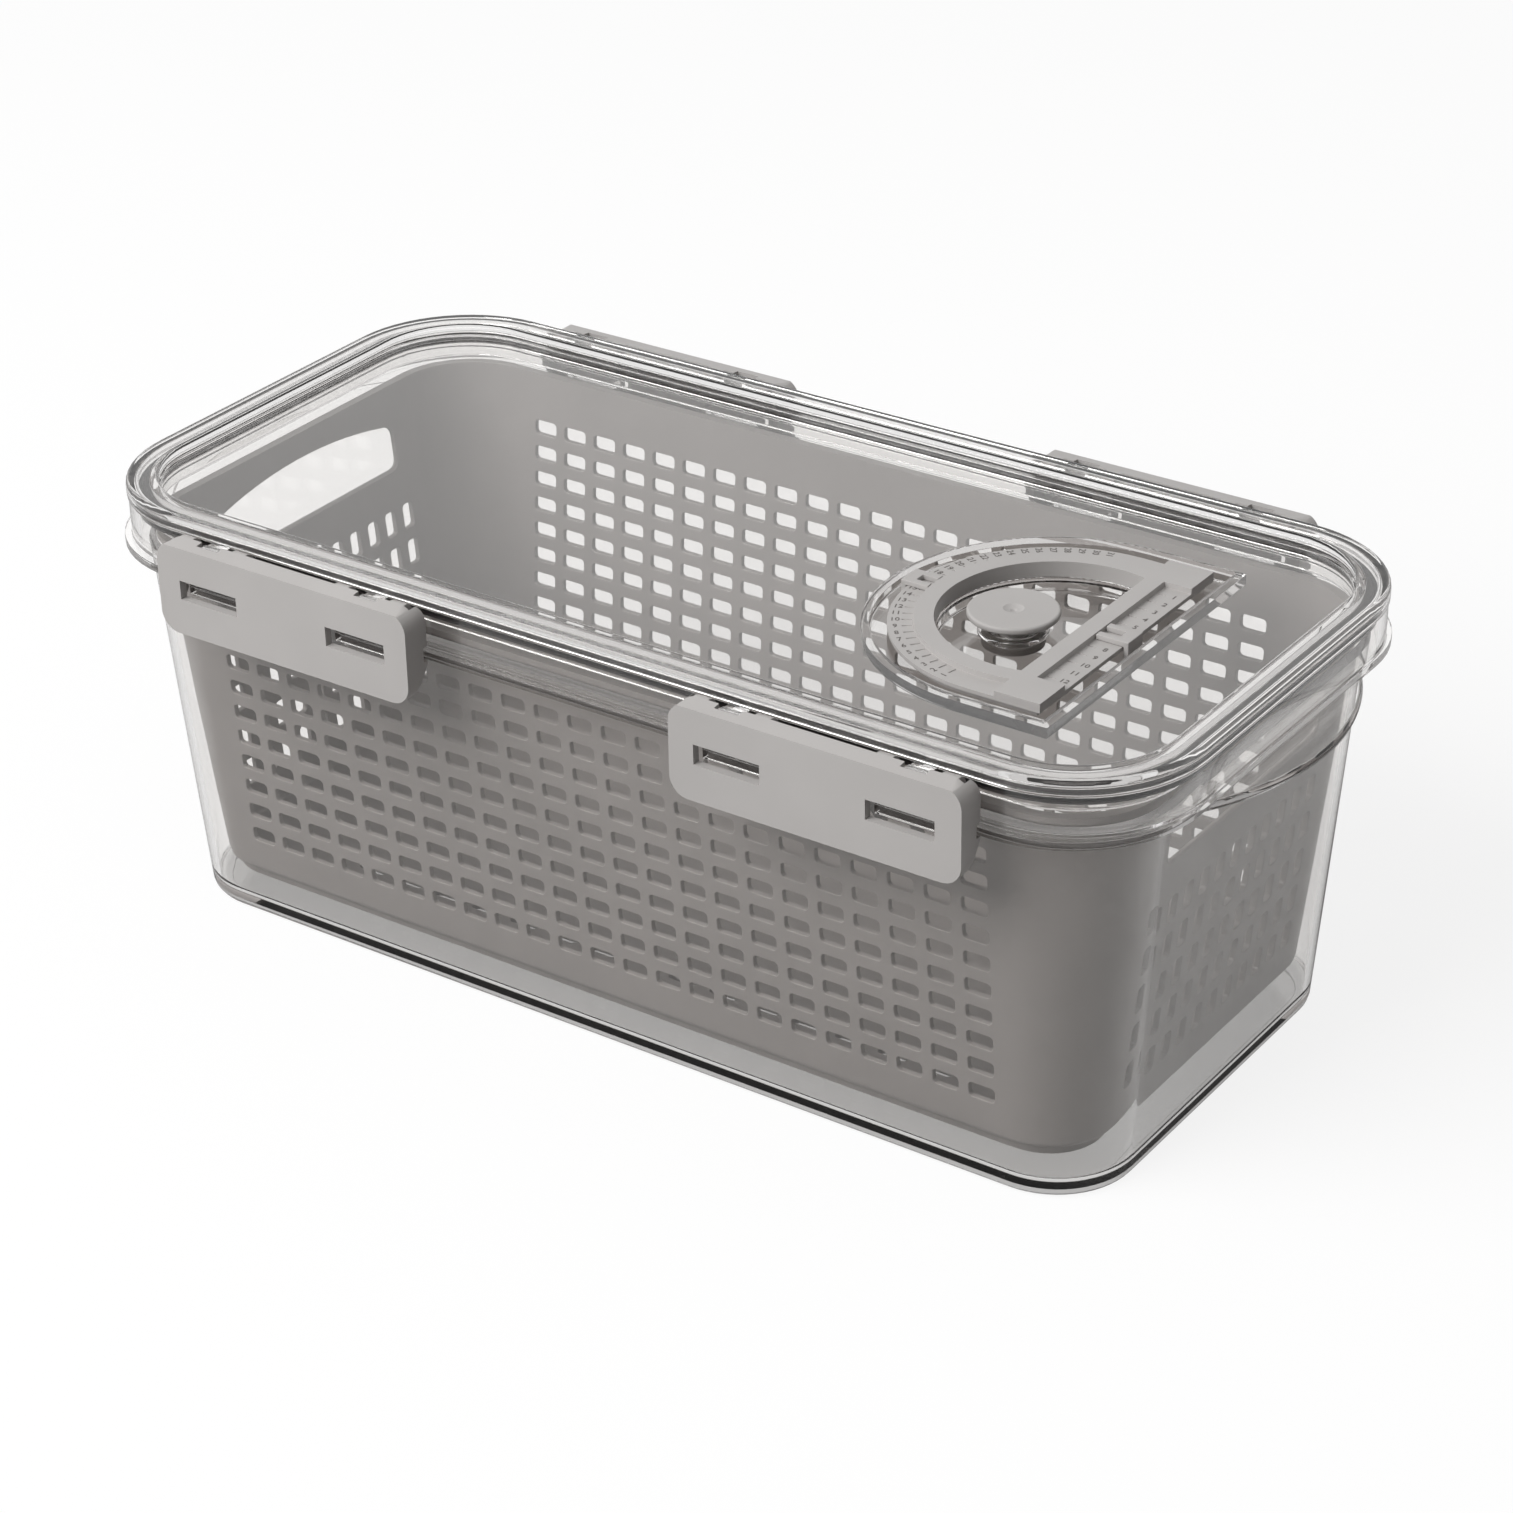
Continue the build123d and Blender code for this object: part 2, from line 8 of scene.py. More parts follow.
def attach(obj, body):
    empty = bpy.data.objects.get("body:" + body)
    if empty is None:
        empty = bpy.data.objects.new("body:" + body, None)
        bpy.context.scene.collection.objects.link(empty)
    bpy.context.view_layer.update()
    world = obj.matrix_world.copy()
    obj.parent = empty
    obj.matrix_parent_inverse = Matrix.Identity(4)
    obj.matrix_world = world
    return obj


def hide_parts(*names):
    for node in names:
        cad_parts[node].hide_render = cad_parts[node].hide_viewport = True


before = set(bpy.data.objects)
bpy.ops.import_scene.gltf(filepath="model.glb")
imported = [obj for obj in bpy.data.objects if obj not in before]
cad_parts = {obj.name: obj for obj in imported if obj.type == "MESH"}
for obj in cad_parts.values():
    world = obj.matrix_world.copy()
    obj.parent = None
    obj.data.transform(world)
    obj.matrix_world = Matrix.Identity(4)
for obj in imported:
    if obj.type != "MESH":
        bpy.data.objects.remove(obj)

bl_info = {
    "name": "Produce Keeper",
    "version": (1, 0, 0),
    "blender": (4, 5, 0),
    "location": "View3D > Sidebar > Keeper",
    "description": "Builds a clear produce keeper with a drain basket, snap latches and a date dial",
    "category": "Add Mesh",
}

# Pieces are modelled in millimetres and brought to metres when they are finished. A name that ends in CUT
# holds the bottom and the top of a cutting tool.
MM = 0.001

# Outlines: a length, a width and a corner radius
TUB_LOW = (290.6, 131.6, 22.0)
TUB_HIGH = (306.2, 145.0, 26.0)
COLLAR = (319.6, 154.6, 34.9)
FLANGE = (320.2, 159.4, 34.9)
LID = (320.4, 155.4, 35.3)
BASKET_LOW = (279.0, 123.8, 18.0)
BASKET_HIGH = (299.4, 139.6, 22.5)

# Heights
NECK = 106.0
LEDGE = 108.2
COLLAR_TOP = 118.6
LID_TOP = 123.1
PANEL_TOP = 120.3
PANEL_BOTTOM = 118.1
BASKET_BOTTOM = 11.0
BASKET_TOP = 110.2
TUB_FLOOR = 3.4

# Walls
TUB_WALL = 2.0
COLLAR_WALL = 2.2
BASKET_WALL = 1.7

# The latches' middle, hinge line and face
LATCH_X = 81.0
HINGE_Y = 81.4
HINGE_Z = 117.8
LATCH_FACE = 86.7

# The tub's underside, and the roundings of its foot and its floor
HOLLOW_MARGIN = 5.0
HOLLOW_HEIGHT = 1.0
FOOT_ROUND = 2.5
TUB_FLOOR_ROUND = 3.0

# The tub's end lips
LIP_REACH = 170.0
LIP_HALF_WIDTH = 47.8
LIP_ROOT = 153.1
LIP_BURIED_END = 152.2
LIP_BOTTOM = 104.0
LIP_TOP = 106.4

# The tub's lugs, two behind each latch, which end short of the latch's face
LUG_SPREAD = 24.3
LUG_HALF_WIDTH = 8.75
LUG_ROOT = 76.4
LUG_SETBACK = 2.6
LUG_BOTTOM = 105.9
LUG_TOP = 109.9
LUG_EDGE = 0.3

# The basket's floor, its roundings and its lip
BASKET_FLOOR = 2.0
BASKET_ROUND = 3.0
BASKET_INNER_ROUND = 1.3
BASKET_LIP_BOTTOM = 108.6
BASKET_LIP_REACH = 0.9

# The rail and the feet under the basket
RAIL_MARGIN = 3.2
RAIL_WIDTH = 1.8
RAIL_BOTTOM = 8.2
RAIL_CUT = (7.0, 13.0)
RAIL_EDGE = 0.4
UNDERSIDE_TOP = 11.6
FEET_X = (-108, 0, 108)
FEET_Y = (-38, 38)
FEET_RADIUS = 6.0
FEET_EDGE = 0.8

# The drain slots in the basket's floor
DRAIN_COUNT = (17, 9)
DRAIN_PITCH = (13.0, 11.4)
DRAIN_SIZE = (9.0, 3.2)
DRAIN_ROUND = 1.4
DRAIN_CUT = (9.0, 15.0)
DRAIN_CLEARANCE = 12.1

# The holes in the basket's walls: how many along and up, their pitch, their size and the lowest row
SIDE_HOLES = {"count": (23, 10), "pitch": (10.4, 7.79), "size": (7.4, 4.2), "lowest": 24.2}
END_HOLES = {"count": (11, 5), "pitch": (7.8, 11.15), "size": (4.2, 7.4), "lowest": 26.0}

# The grip openings in the basket's ends, whose tops are arched
GRIP_HALF_WIDTH = 38.0
GRIP_BOTTOM = 85.4
GRIP_SIDE_TOP = 98.4
GRIP_MIDDLE_TOP = 103.4
GRIP_CORNER = 3.0
GRIP_CHAMFER = 0.5

# The lid's plug, the shelf and the groove that hold the gasket, and the roundings of the rim
PLUG_INNER = 8.7
PLUG_OUTER = 6.5
PLUG_BOTTOM = 112.0
SHELF_EDGE = 5.3
SHELF_TOP = 115.55
SHELF_THICKNESS = 1.2
GROOVE_EDGE = 2.8
GROOVE_TOP = 120.6
RIM_OUTER_ROUND = 1.5
RIM_INNER_ROUND = 0.9

# The lid's hinge ears, two to a latch, each with a root on the lid and a neck to its eye
EAR_SPREAD = 26.0
EAR_HALF_WIDTH = 3.0
EAR_RADIUS = 1.9
EAR_ROOT_Y = 75.8
EAR_ROOT_TOP = 119.3
EAR_NECK_Y = 77.7
EAR_NECK_BOTTOM = 116.85
EAR_NECK_TOP = 119.2
PIN_BORE_RADIUS = 1.05
PIN_BORE_HALF_LENGTH = 5.0

# The date dial's centre, its plate, its pocket in the lid and its numbers
DIAL_X = 95.6
PLATE_TOP = 119.8
POCKET_RADIUS = 46.5
POCKET_SIDE = 119.5
POCKET_FLOOR = 117.0
POCKET_WALL = 2.0
POCKET_OVERLAP = 0.4
CUT_MARGIN = 2.0
DAYS = 31
DAY_RING = 40.1
DAY_SWEEP = 156.0
MONTHS = 12
MONTH_X = 113.0
MONTH_SPAN = 53.0

# The air vent: its well in the pocket's floor, its seat, its stem's hole and the knob's dish
VENT_X = 82.8
WELL_RADIUS = 30.2
WELL_SIDE = 102.6
WELL_FLOOR = 113.5
SEAT_RADIUS = 9.0
SEAT_BORE_RADIUS = 6.5
SEAT_BOTTOM = 113.3
SEAT_TOP = 114.8
SEAT_CUT = (112.5, 115.5)
SEAT_EDGE = 0.4
STEM_BORE_RADIUS = 3.9
STEM_CUT = (110.0, 116.0)
DISH_RADIUS = 6.2
DISH_DEPTH = 0.6

GASKET_EDGE = 0.3

# Patterns in the plastics and the steel, in millimetres. The real grain and lines are finer, and are drawn
# as coarse as they need to be to show.
CLOUD_SIZE = 26.0
SMEAR_SIZE = 9.0
WAVE_SIZE = 34.0
WAVE_DEPTH = 0.12
LINE_LENGTH = 25.0
LINE_WIDTH = 0.25

# The clear plastic's colour is darker below the first height and untinted above the second: painted shade,
# standing in for the dark line that the light leaving through the thick floor's edge gives the tub's foot.
FOOT_DARK_BELOW = 3.6
FOOT_CLEAR_ABOVE = 4.6
FOOT_PAINTED_SHADE = 0.56

# How much of the stage's floor is plain white to the camera, in a mirror image and through the clear
# plastic, and how much brighter the white is through the plastic
FLOOR_SEEN = 0.85
FLOOR_MIRRORED = 0.09
FLOOR_THROUGH = 0.6
FLOOR_EXTRA_GLOW = 0.2

# The stage, in metres
FLOOR_WIDTH = 8.0
FLOOR_DROP = 0.0002
LAMP_TARGET = (0, 0, 0.06)
CAMERA_PLACE = (0.5332, -0.7504, 0.5572)
CAMERA_TARGET = (0.01015, -0.00807, 0.06031)
CAMERA_ROLL = -1.045
CAMERA_LENS = 94.24
CAMERA_SENSOR = 36.0


def colour(text):
    """An sRGB hex colour as linear red, green, blue and alpha."""
    parts = [int(text[i:i + 2], 16) / 255 for i in (1, 3, 5)]
    return [c / 12.92 if c <= 0.04045 else ((c + 0.055) / 1.055) ** 2.4 for c in parts] + [1.0]


def colour_property(name, text, description):
    """A colour that a user can change."""
    return bpy.props.FloatVectorProperty(name=name, description=description, subtype="COLOR", size=4,
                                         min=0, max=1, default=colour(text))


def size_property(name, value, description):
    """A size in millimetres that a user can change."""
    return bpy.props.FloatProperty(name=name, description=description, default=value, min=0.01)


class KeeperSizes(bpy.types.PropertyGroup):
    """Sizes in millimetres."""

    edge: size_property("Edge", 0.55, "Rounding of the clear shells' edges")
    lip_edge: size_property("Lip edge", 1.1, "Rounding of the end lips' edges")
    hole_corner: size_property("Hole corner", 1.0, "Rounding of the basket holes' corners")
    hole_chamfer: size_property("Hole chamfer", 0.18, "Chamfer round the basket holes")
    trim_edge: size_property("Trim edge", 0.5, "Rounding of the latches' edges")
    dial_edge: size_property("Dial edge", 0.22, "Rounding of the dial's edges")
    number_size: size_property("Number size", 2.6, "Height of the dial's type")
    number_height: size_property("Number height", 0.06, "How far the numbers stand up")


class KeeperColours(bpy.types.PropertyGroup):
    """Colours of the finishes."""

    clear: colour_property("Clear plastic", "#F4F3F2", "The tint of what is seen through the clear plastic")
    shade: colour_property("Clear plastic shade", "#E1DFDE", "The lamp light that the clear plastic passes")
    basket: colour_property("Basket", "#B4B1AF", "The grey of the basket")
    trim: colour_property("Trim", "#B4B1AF", "The grey of the latches and the dial")
    marks: colour_property("Marks", "#5B5754", "The grey of the numbers on the dial")
    seal: colour_property("Seal", "#1F1D1C", "The dark grey of the gasket")
    vent: colour_property("Vent seal", "#8E8B88", "The grey of the vent seal")
    floor: colour_property("Floor", "#F4F4F4", "The pale floor")
    bounce: colour_property("Floor bounce", "#B4B4B4", "The light that the floor throws back on the keeper")


def add_node(tree, kind, inputs=None, **settings):
    """Adds a node with its settings. An input is a value, or a socket to link from."""
    node = tree.nodes.new(kind)
    for name, value in settings.items():
        setattr(node, name, value)
    for name, value in (inputs or {}).items():
        if isinstance(value, bpy.types.NodeSocket):
            tree.links.new(value, node.inputs[name])
        else:
            node.inputs[name].default_value = value
    return node


def blank_material(name):
    """A material with an empty node tree and its output node."""
    material = bpy.data.materials.new(name)
    material.use_nodes = True
    material.node_tree.nodes.clear()
    return material, material.node_tree, add_node(material.node_tree, "ShaderNodeOutputMaterial")


def speckle(tree, size_mm, detail=2.0):
    """Noise whose blobs have a real size, on the piece's own coordinates."""
    place = add_node(tree, "ShaderNodeTexCoord").outputs["Object"]
    return add_node(tree, "ShaderNodeTexNoise", {
        "Vector": place, "Scale": 1 / (size_mm * MM), "Detail": detail})


def spread(tree, value, low, high, start=0.3, end=0.7):
    """Maps a value between two limits."""
    return add_node(tree, "ShaderNodeMapRange", {"Value": value, "From Min": start, "From Max": end,
                                                 "To Min": low, "To Max": high}).outputs["Result"]


def moulded(name, base, rough, grain_mm, grain_depth, cloud=0.05, rubbery=0.0):
    """Opaque moulded plastic or rubber: even colour, faint clouds and a fine eroded grain."""
    material, tree, out = blank_material(name)
    clouds = speckle(tree, CLOUD_SIZE).outputs["Fac"]
    shade = spread(tree, clouds, 1 - cloud, 1 + cloud)
    tone = add_node(tree, "ShaderNodeVectorMath", {0: tuple(base)[:3], "Scale": shade}, operation="SCALE")
    grain = speckle(tree, grain_mm, 1.0).outputs["Fac"]
    bump = add_node(tree, "ShaderNodeBump", {
        "Height": grain, "Strength": 0.35, "Distance": grain_depth * MM})
    roughness = spread(tree, speckle(tree, SMEAR_SIZE).outputs["Fac"], rough - 0.05, rough + 0.05)
    shader = add_node(tree, "ShaderNodeBsdfPrincipled", {
        "Base Color": tone.outputs["Vector"], "Roughness": roughness, "IOR": 1.49,
        "Normal": bump.outputs["Normal"], "Sheen Weight": rubbery})
    tree.links.new(shader.outputs["BSDF"], out.inputs["Surface"])
    return material


def clear_plastic(name, tint, shade):
    """Clear glossy styrene plastic: it bends light, lets lamps through and has faint flow waves."""
    material, tree, out = blank_material(name)
    waves = speckle(tree, WAVE_SIZE, 0.0).outputs["Fac"]
    bump = add_node(tree, "ShaderNodeBump", {
        "Height": waves, "Strength": 0.05, "Distance": WAVE_DEPTH * MM})
    roughness = spread(tree, speckle(tree, SMEAR_SIZE).outputs["Fac"], 0.0, 0.02)
    place = add_node(tree, "ShaderNodeTexCoord").outputs["Object"]
    height = add_node(tree, "ShaderNodeSeparateXYZ", {"Vector": place}).outputs["Z"]
    # Painted shade: the tint is darkened at the tub's foot, in place of the dark line that light gives it
    # there.
    foot = spread(tree, height, FOOT_PAINTED_SHADE, 1.0, FOOT_DARK_BELOW * MM, FOOT_CLEAR_ABOVE * MM)
    tone = add_node(tree, "ShaderNodeVectorMath", {0: tuple(tint)[:3], "Scale": foot}, operation="SCALE")
    glass = add_node(tree, "ShaderNodeBsdfPrincipled", {
        "Base Color": tone.outputs["Vector"], "Roughness": roughness, "IOR": 1.53,
        "Transmission Weight": 1.0, "Normal": bump.outputs["Normal"]})
    passed = add_node(tree, "ShaderNodeBsdfTransparent", {"Color": tuple(shade)})

    # Light for other pieces goes straight through, and so does a ray that is caught in the wall.
    rays = add_node(tree, "ShaderNodeLightPath")
    lighting = add_node(tree, "ShaderNodeMath", {
        0: rays.outputs["Is Shadow Ray"], 1: rays.outputs["Is Diffuse Ray"]}, operation="MAXIMUM")
    caught = add_node(tree, "ShaderNodeMath", {
        0: rays.outputs["Glossy Depth"], 1: 2.5}, operation="GREATER_THAN")
    straight = add_node(tree, "ShaderNodeMath", {
        0: lighting.outputs[0], 1: caught.outputs[0]}, operation="MAXIMUM")
    mix = add_node(tree, "ShaderNodeMixShader", {
        0: straight.outputs[0], 1: glass.outputs["BSDF"], 2: passed.outputs["BSDF"]})
    tree.links.new(mix.outputs["Shader"], out.inputs["Surface"])
    return material


def drawn_steel(name):
    """Stainless steel wire: bright metal with fine lines along the pin."""
    material, tree, out = blank_material(name)
    place = add_node(tree, "ShaderNodeTexCoord").outputs["Object"]
    along, across = (1 / (size * MM) for size in (LINE_LENGTH, LINE_WIDTH))
    lines = add_node(tree, "ShaderNodeMapping", {"Vector": place, "Scale": (along, across, across)})
    noise = add_node(tree, "ShaderNodeTexNoise", {"Vector": lines.outputs["Vector"], "Scale": 1.0})
    shader = add_node(tree, "ShaderNodeBsdfPrincipled", {
        "Base Color": colour("#B9B9B7"), "Metallic": 1.0,
        "Roughness": spread(tree, noise.outputs["Fac"], 0.22, 0.38)})
    tree.links.new(shader.outputs["BSDF"], out.inputs["Surface"])
    return material


def pale_floor(name, tone, bounce):
    """A matte floor that looks white and still takes a soft shadow."""
    material, tree, out = blank_material(name)
    rays = add_node(tree, "ShaderNodeLightPath")
    through = add_node(tree, "ShaderNodeMath", {
        0: rays.outputs["Is Transmission Ray"], 1: FLOOR_THROUGH}, operation="MULTIPLY")
    mirrored = add_node(tree, "ShaderNodeMath", {
        0: rays.outputs["Is Glossy Ray"], 1: FLOOR_MIRRORED, 2: through.outputs[0]},
        operation="MULTIPLY_ADD")
    share = add_node(tree, "ShaderNodeMath", {
        0: rays.outputs["Is Camera Ray"], 1: FLOOR_SEEN, 2: mirrored.outputs[0]}, operation="MULTIPLY_ADD")

    # The shaded part of the floor is dimmer to the pieces that it lights or is mirrored in.
    matte = add_node(tree, "ShaderNodeBsdfDiffuse", {"Color": tuple(tone), "Roughness": 1.0})
    dim = add_node(tree, "ShaderNodeBsdfDiffuse", {"Color": tuple(bounce), "Roughness": 1.0})
    thrown = add_node(tree, "ShaderNodeMath", {
        0: rays.outputs["Is Diffuse Ray"], 1: rays.outputs["Is Reflection Ray"]}, operation="MAXIMUM")
    lit = add_node(tree, "ShaderNodeMixShader", {
        0: thrown.outputs[0], 1: matte.outputs["BSDF"], 2: dim.outputs["BSDF"]})
    bright = add_node(tree, "ShaderNodeMath", {
        0: rays.outputs["Is Transmission Ray"], 1: FLOOR_EXTRA_GLOW, 2: 1.0}, operation="MULTIPLY_ADD")
    glow = add_node(tree, "ShaderNodeEmission", {"Color": (1, 1, 1, 1), "Strength": bright.outputs[0]})
    mix = add_node(tree, "ShaderNodeMixShader", {
        0: share.outputs[0], 1: lit.outputs["Shader"], 2: glow.outputs["Emission"]})
    tree.links.new(mix.outputs["Shader"], out.inputs["Surface"])
    return material


def made(name, maker, **finish):
    """A material by name, made the first time that it is asked for."""
    return bpy.data.materials.get(name) or maker(name, **finish)


# Clear styrene, moulded against polished steel: what lies behind shows through, and the edges catch sharp
# dark and light lines.
def clear_material():
    """The finish of the tub and the lid."""
    colours = bpy.context.scene.keeper_colours
    return made("clear_styrene", clear_plastic, tint=colours.clear, shade=colours.shade)


# Polypropylene, moulded against eroded steel: an even grey with a dull, wide sheen and no sharp highlight.
def basket_material():
    """The finish of the basket."""
    return made("polypropylene_grey", moulded, base=bpy.context.scene.keeper_colours.basket, rough=0.42,
                grain_mm=0.5, grain_depth=0.05)


# ABS, moulded against finer eroded steel: the basket's grey, a little smoother and with crisper edges.
def trim_material():
    """The finish of the latches, the dial and the vent knob."""
    return made("abs_light_grey", moulded, base=bpy.context.scene.keeper_colours.trim, rough=0.36,
                grain_mm=0.45, grain_depth=0.04, cloud=0.03)


# Matt printed ink: a flat darker grey that hardly shines.
def marks_material():
    """The finish of the dial's numbers."""
    return made("printed_ink", moulded, base=bpy.context.scene.keeper_colours.marks, rough=0.5,
                grain_mm=0.4, grain_depth=0.02, cloud=0.02)


# Silicone rubber, moulded: nearly black and dull, with a soft light bloom where it turns away.
def seal_material():
    """The finish of the gasket."""
    return made("silicone_seal", moulded, base=bpy.context.scene.keeper_colours.seal, rough=0.55,
                grain_mm=0.8, grain_depth=0.03, cloud=0.06, rubbery=0.1)


# Silicone rubber, moulded, in a mid grey: dull like the gasket, but pale enough to show under the knob.
def vent_material():
    """The finish of the vent's seal."""
    return made("silicone_vent", moulded, base=bpy.context.scene.keeper_colours.vent, rough=0.5,
                grain_mm=0.8, grain_depth=0.03, cloud=0.04, rubbery=0.05)


# Stainless steel wire, drawn: a bright metal whose highlight is drawn out along the pin.
def steel_material():
    """The finish of the hinge pins."""
    return made("stainless_pin", drawn_steel)


def inset(outline, depth):
    """An outline drawn in by a depth."""
    length, width, radius = outline
    return (length - 2 * depth, width - 2 * depth, radius - depth)


def between(low, high, share):
    """An outline between two others."""
    return tuple(a + (b - a) * share for a, b in zip(low, high))


def tub_outline(z, depth=0.0):
    """The tub's outline at a height, drawn in by a depth."""
    return inset(between(TUB_LOW, TUB_HIGH, z / NECK), depth)


def basket_outline(z, depth=0.0):
    """The basket's outline at a height, drawn in by a depth."""
    share = (z - BASKET_BOTTOM) / (BASKET_TOP - BASKET_BOTTOM)
    return inset(between(BASKET_LOW, BASKET_HIGH, share), depth)


def deselect():
    """Nothing selected, in object mode."""
    if bpy.context.object and bpy.context.object.mode != "OBJECT":
        bpy.ops.object.mode_set(mode="OBJECT")
    bpy.ops.object.select_all(action="DESELECT")


def take(obj, *others):
    """Selects objects and makes the first one active."""
    deselect()
    for each in (obj, *others):
        each.select_set(True)
    bpy.context.view_layer.objects.active = obj
    return obj


def edit(obj, everything=True):
    """Opens an object for editing by vertices."""
    take(obj)
    bpy.ops.object.mode_set(mode="EDIT")
    bpy.ops.mesh.select_mode(type="VERT")
    bpy.ops.mesh.select_all(action="SELECT" if everything else "DESELECT")


def close(obj):
    """Leaves edit mode."""
    bpy.ops.object.mode_set(mode="OBJECT")
    return obj


def pick_faces(obj, test):
    """In edit mode, selects only the faces that pass a test."""
    bpy.ops.mesh.select_mode(type="FACE")
    mesh = bmesh.from_edit_mesh(obj.data)
    for face in mesh.faces:
        face.select_set(False)
    for face in mesh.faces:
        if test(face):
            face.select_set(True)
    bmesh.update_edit_mesh(obj.data)


def pick_edges(obj, test):
    """In edit mode, selects only the edges that pass a test."""
    bpy.ops.mesh.select_mode(type="EDGE")
    mesh = bmesh.from_edit_mesh(obj.data)
    for edge in mesh.edges:
        edge.select_set(False)
    for edge in mesh.edges:
        if test(edge):
            edge.select_set(True)
    bmesh.update_edit_mesh(obj.data)


def apply_modifier(obj, kind, **settings):
    """Adds a modifier and applies it."""
    take(obj)
    modifier = obj.modifiers.new(kind, kind)
    for name, value in settings.items():
        setattr(modifier, name, value)
    bpy.ops.object.modifier_apply(modifier=modifier.name)
    return obj


def soften(obj, width, segments=3, angle=35.0):
    """Rounds the sharp edges."""
    return apply_modifier(obj, "BEVEL", width=width, segments=segments, limit_method="ANGLE",
                          angle_limit=math.radians(angle), miter_outer="MITER_ARC")


def combine(obj, tool, operation):
    """Adds a tool to an object or cuts it away, and removes the tool."""
    apply_modifier(obj, "BOOLEAN", object=tool, operation=operation, solver="EXACT")
    bpy.data.objects.remove(tool)
    return obj


def join(obj, *others):
    """Joins objects into the first one."""
    take(obj, *others)
    bpy.ops.object.join()
    return obj


def reshape(obj, old, new, z):
    """In edit mode, turns the selected outline into another one, a corner at a time."""
    mesh = bmesh.from_edit_mesh(obj.data)
    ring = [v for v in mesh.verts if v.select]
    grow = new[2] / old[2]
    for side_x in (-1, 1):
        for side_y in (-1, 1):
            for v in ring:
                v.select_set(v.co.x * side_x > 0 and v.co.y * side_y > 0)
            bmesh.update_edit_mesh(obj.data)
            centre = [side * (old[i] / 2 - old[2]) for i, side in enumerate((side_x, side_y))]
            target = [side * (new[i] / 2 - new[2]) for i, side in enumerate((side_x, side_y))]
            bpy.ops.transform.resize(value=(grow, grow, 1), center_override=(*centre, z))
            bpy.ops.transform.translate(value=(target[0] - centre[0], target[1] - centre[1], 0))
    for v in ring:
        v.select_set(True)
    mesh.select_flush(True)
    bmesh.update_edit_mesh(obj.data)


def loft(name, rings, steps=14):
    """A closed body through rounded rectangles, extruded from ring to ring."""
    deselect()
    outline, z = rings[0]
    bpy.ops.mesh.primitive_plane_add(size=1, location=(0, 0, z))
    obj = bpy.context.object
    obj.name = name
    bpy.ops.object.transform_apply(location=True)
    edit(obj)
    bpy.ops.transform.resize(value=(outline[0], outline[1], 1), center_override=(0, 0, z))
    bpy.ops.mesh.bevel(offset=outline[2], segments=steps, affect="VERTICES", clamp_overlap=False)
    for following, height in rings[1:]:
        bpy.ops.mesh.extrude_region_move(TRANSFORM_OT_translate={"value": (0, 0, height - z)})
        if following != outline:
            reshape(obj, outline, following, height)
        outline, z = following, height
    bpy.ops.mesh.select_all(action="SELECT")
    bpy.ops.mesh.normals_make_consistent(inside=False)
    return close(obj)


def round_rings(shape, z, radius, depth=0.0, steps=4, upward=True):
    """Rings round the bottom edge of a tapered wall: from the flat floor out and up, or back down."""
    rings = []
    for i in range(steps + 1):
        turn = math.radians(90 * i / steps)
        height = z + radius * (1 - math.cos(turn))
        rings.append((shape(height, depth + radius * (1 - math.sin(turn))), height))
    return rings if upward else rings[::-1]


def box(name, low, high):
    """A plain block that is a tool or a start for a piece."""
    deselect()
    bpy.ops.mesh.primitive_cube_add(size=1, location=[(a + b) / 2 for a, b in zip(low, high)],
                                    scale=[b - a for a, b in zip(low, high)])
    obj = bpy.context.object
    obj.name = name
    bpy.ops.object.transform_apply(location=True, rotation=True, scale=True)
    return obj


def rod(name, radius, low, high, steps=48, turn=(0, 0, 0)):
    """A round bar between two points on one axis."""
    deselect()
    middle = (Vector(low) + Vector(high)) / 2
    bpy.ops.mesh.primitive_cylinder_add(vertices=steps, radius=radius, location=middle, rotation=turn,
                                        depth=(Vector(high) - Vector(low)).length)
    obj = bpy.context.object
    obj.name = name
    bpy.ops.object.transform_apply(location=True, rotation=True, scale=True)
    return obj


def dial_block(name, radius, cut, side, z0, z1, edge=0.0, steps=96):
    """A disc about the dial's centre, cut off straight and drawn out to a flat side."""
    obj = rod(name, radius, (DIAL_X, 0, z0), (DIAL_X, 0, z1), steps)
    edit(obj)
    bpy.ops.mesh.bisect(plane_co=(cut, 0, 0), plane_no=(1, 0, 0), use_fill=True, clear_outer=True)
    if side > cut:
        pick_faces(obj, lambda face: face.normal.x > 0.99 and face.calc_center_median().x > cut - 0.01)
        bpy.ops.mesh.extrude_region_move(TRANSFORM_OT_translate={"value": (side - cut, 0, 0)})
    bpy.ops.mesh.select_all(action="SELECT")
    bpy.ops.mesh.normals_make_consistent(inside=False)
    close(obj)
    if edge:
        soften(obj, edge, 2)
    return obj


def finish_piece(obj, material, body, slot, *nodes, angle=30.0):
    """Brings a piece to metres, smooths it, gives it its finish and fixes it to its body."""
    take(obj)
    obj.scale = (MM, MM, MM)
    bpy.ops.object.transform_apply(location=True, rotation=True, scale=True)
    bpy.ops.object.shade_smooth_by_angle(angle=math.radians(angle))
    apply_modifier(obj, "WEIGHTED_NORMAL", keep_sharp=True, weight=80)
    obj.data.materials.clear()
    obj.data.materials.append(material)
    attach(obj, body)
    if nodes:
        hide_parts(*nodes)
    deselect()


def copy_node(node, name, edge=0.0, segments=2):
    """A merged copy of a CAD node with its sharp edges rounded."""
    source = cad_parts[node]
    obj = bpy.data.objects.new(name, source.data.copy())
    bpy.context.scene.collection.objects.link(obj)
    obj.data.transform(Matrix.Scale(1 / MM, 4))
    edit(obj)
    bpy.ops.mesh.remove_doubles(threshold=0.0005)
    bpy.ops.mesh.dissolve_limited(angle_limit=math.radians(0.6))
    close(obj)
    if edge:
        soften(obj, edge, segments)
    return obj


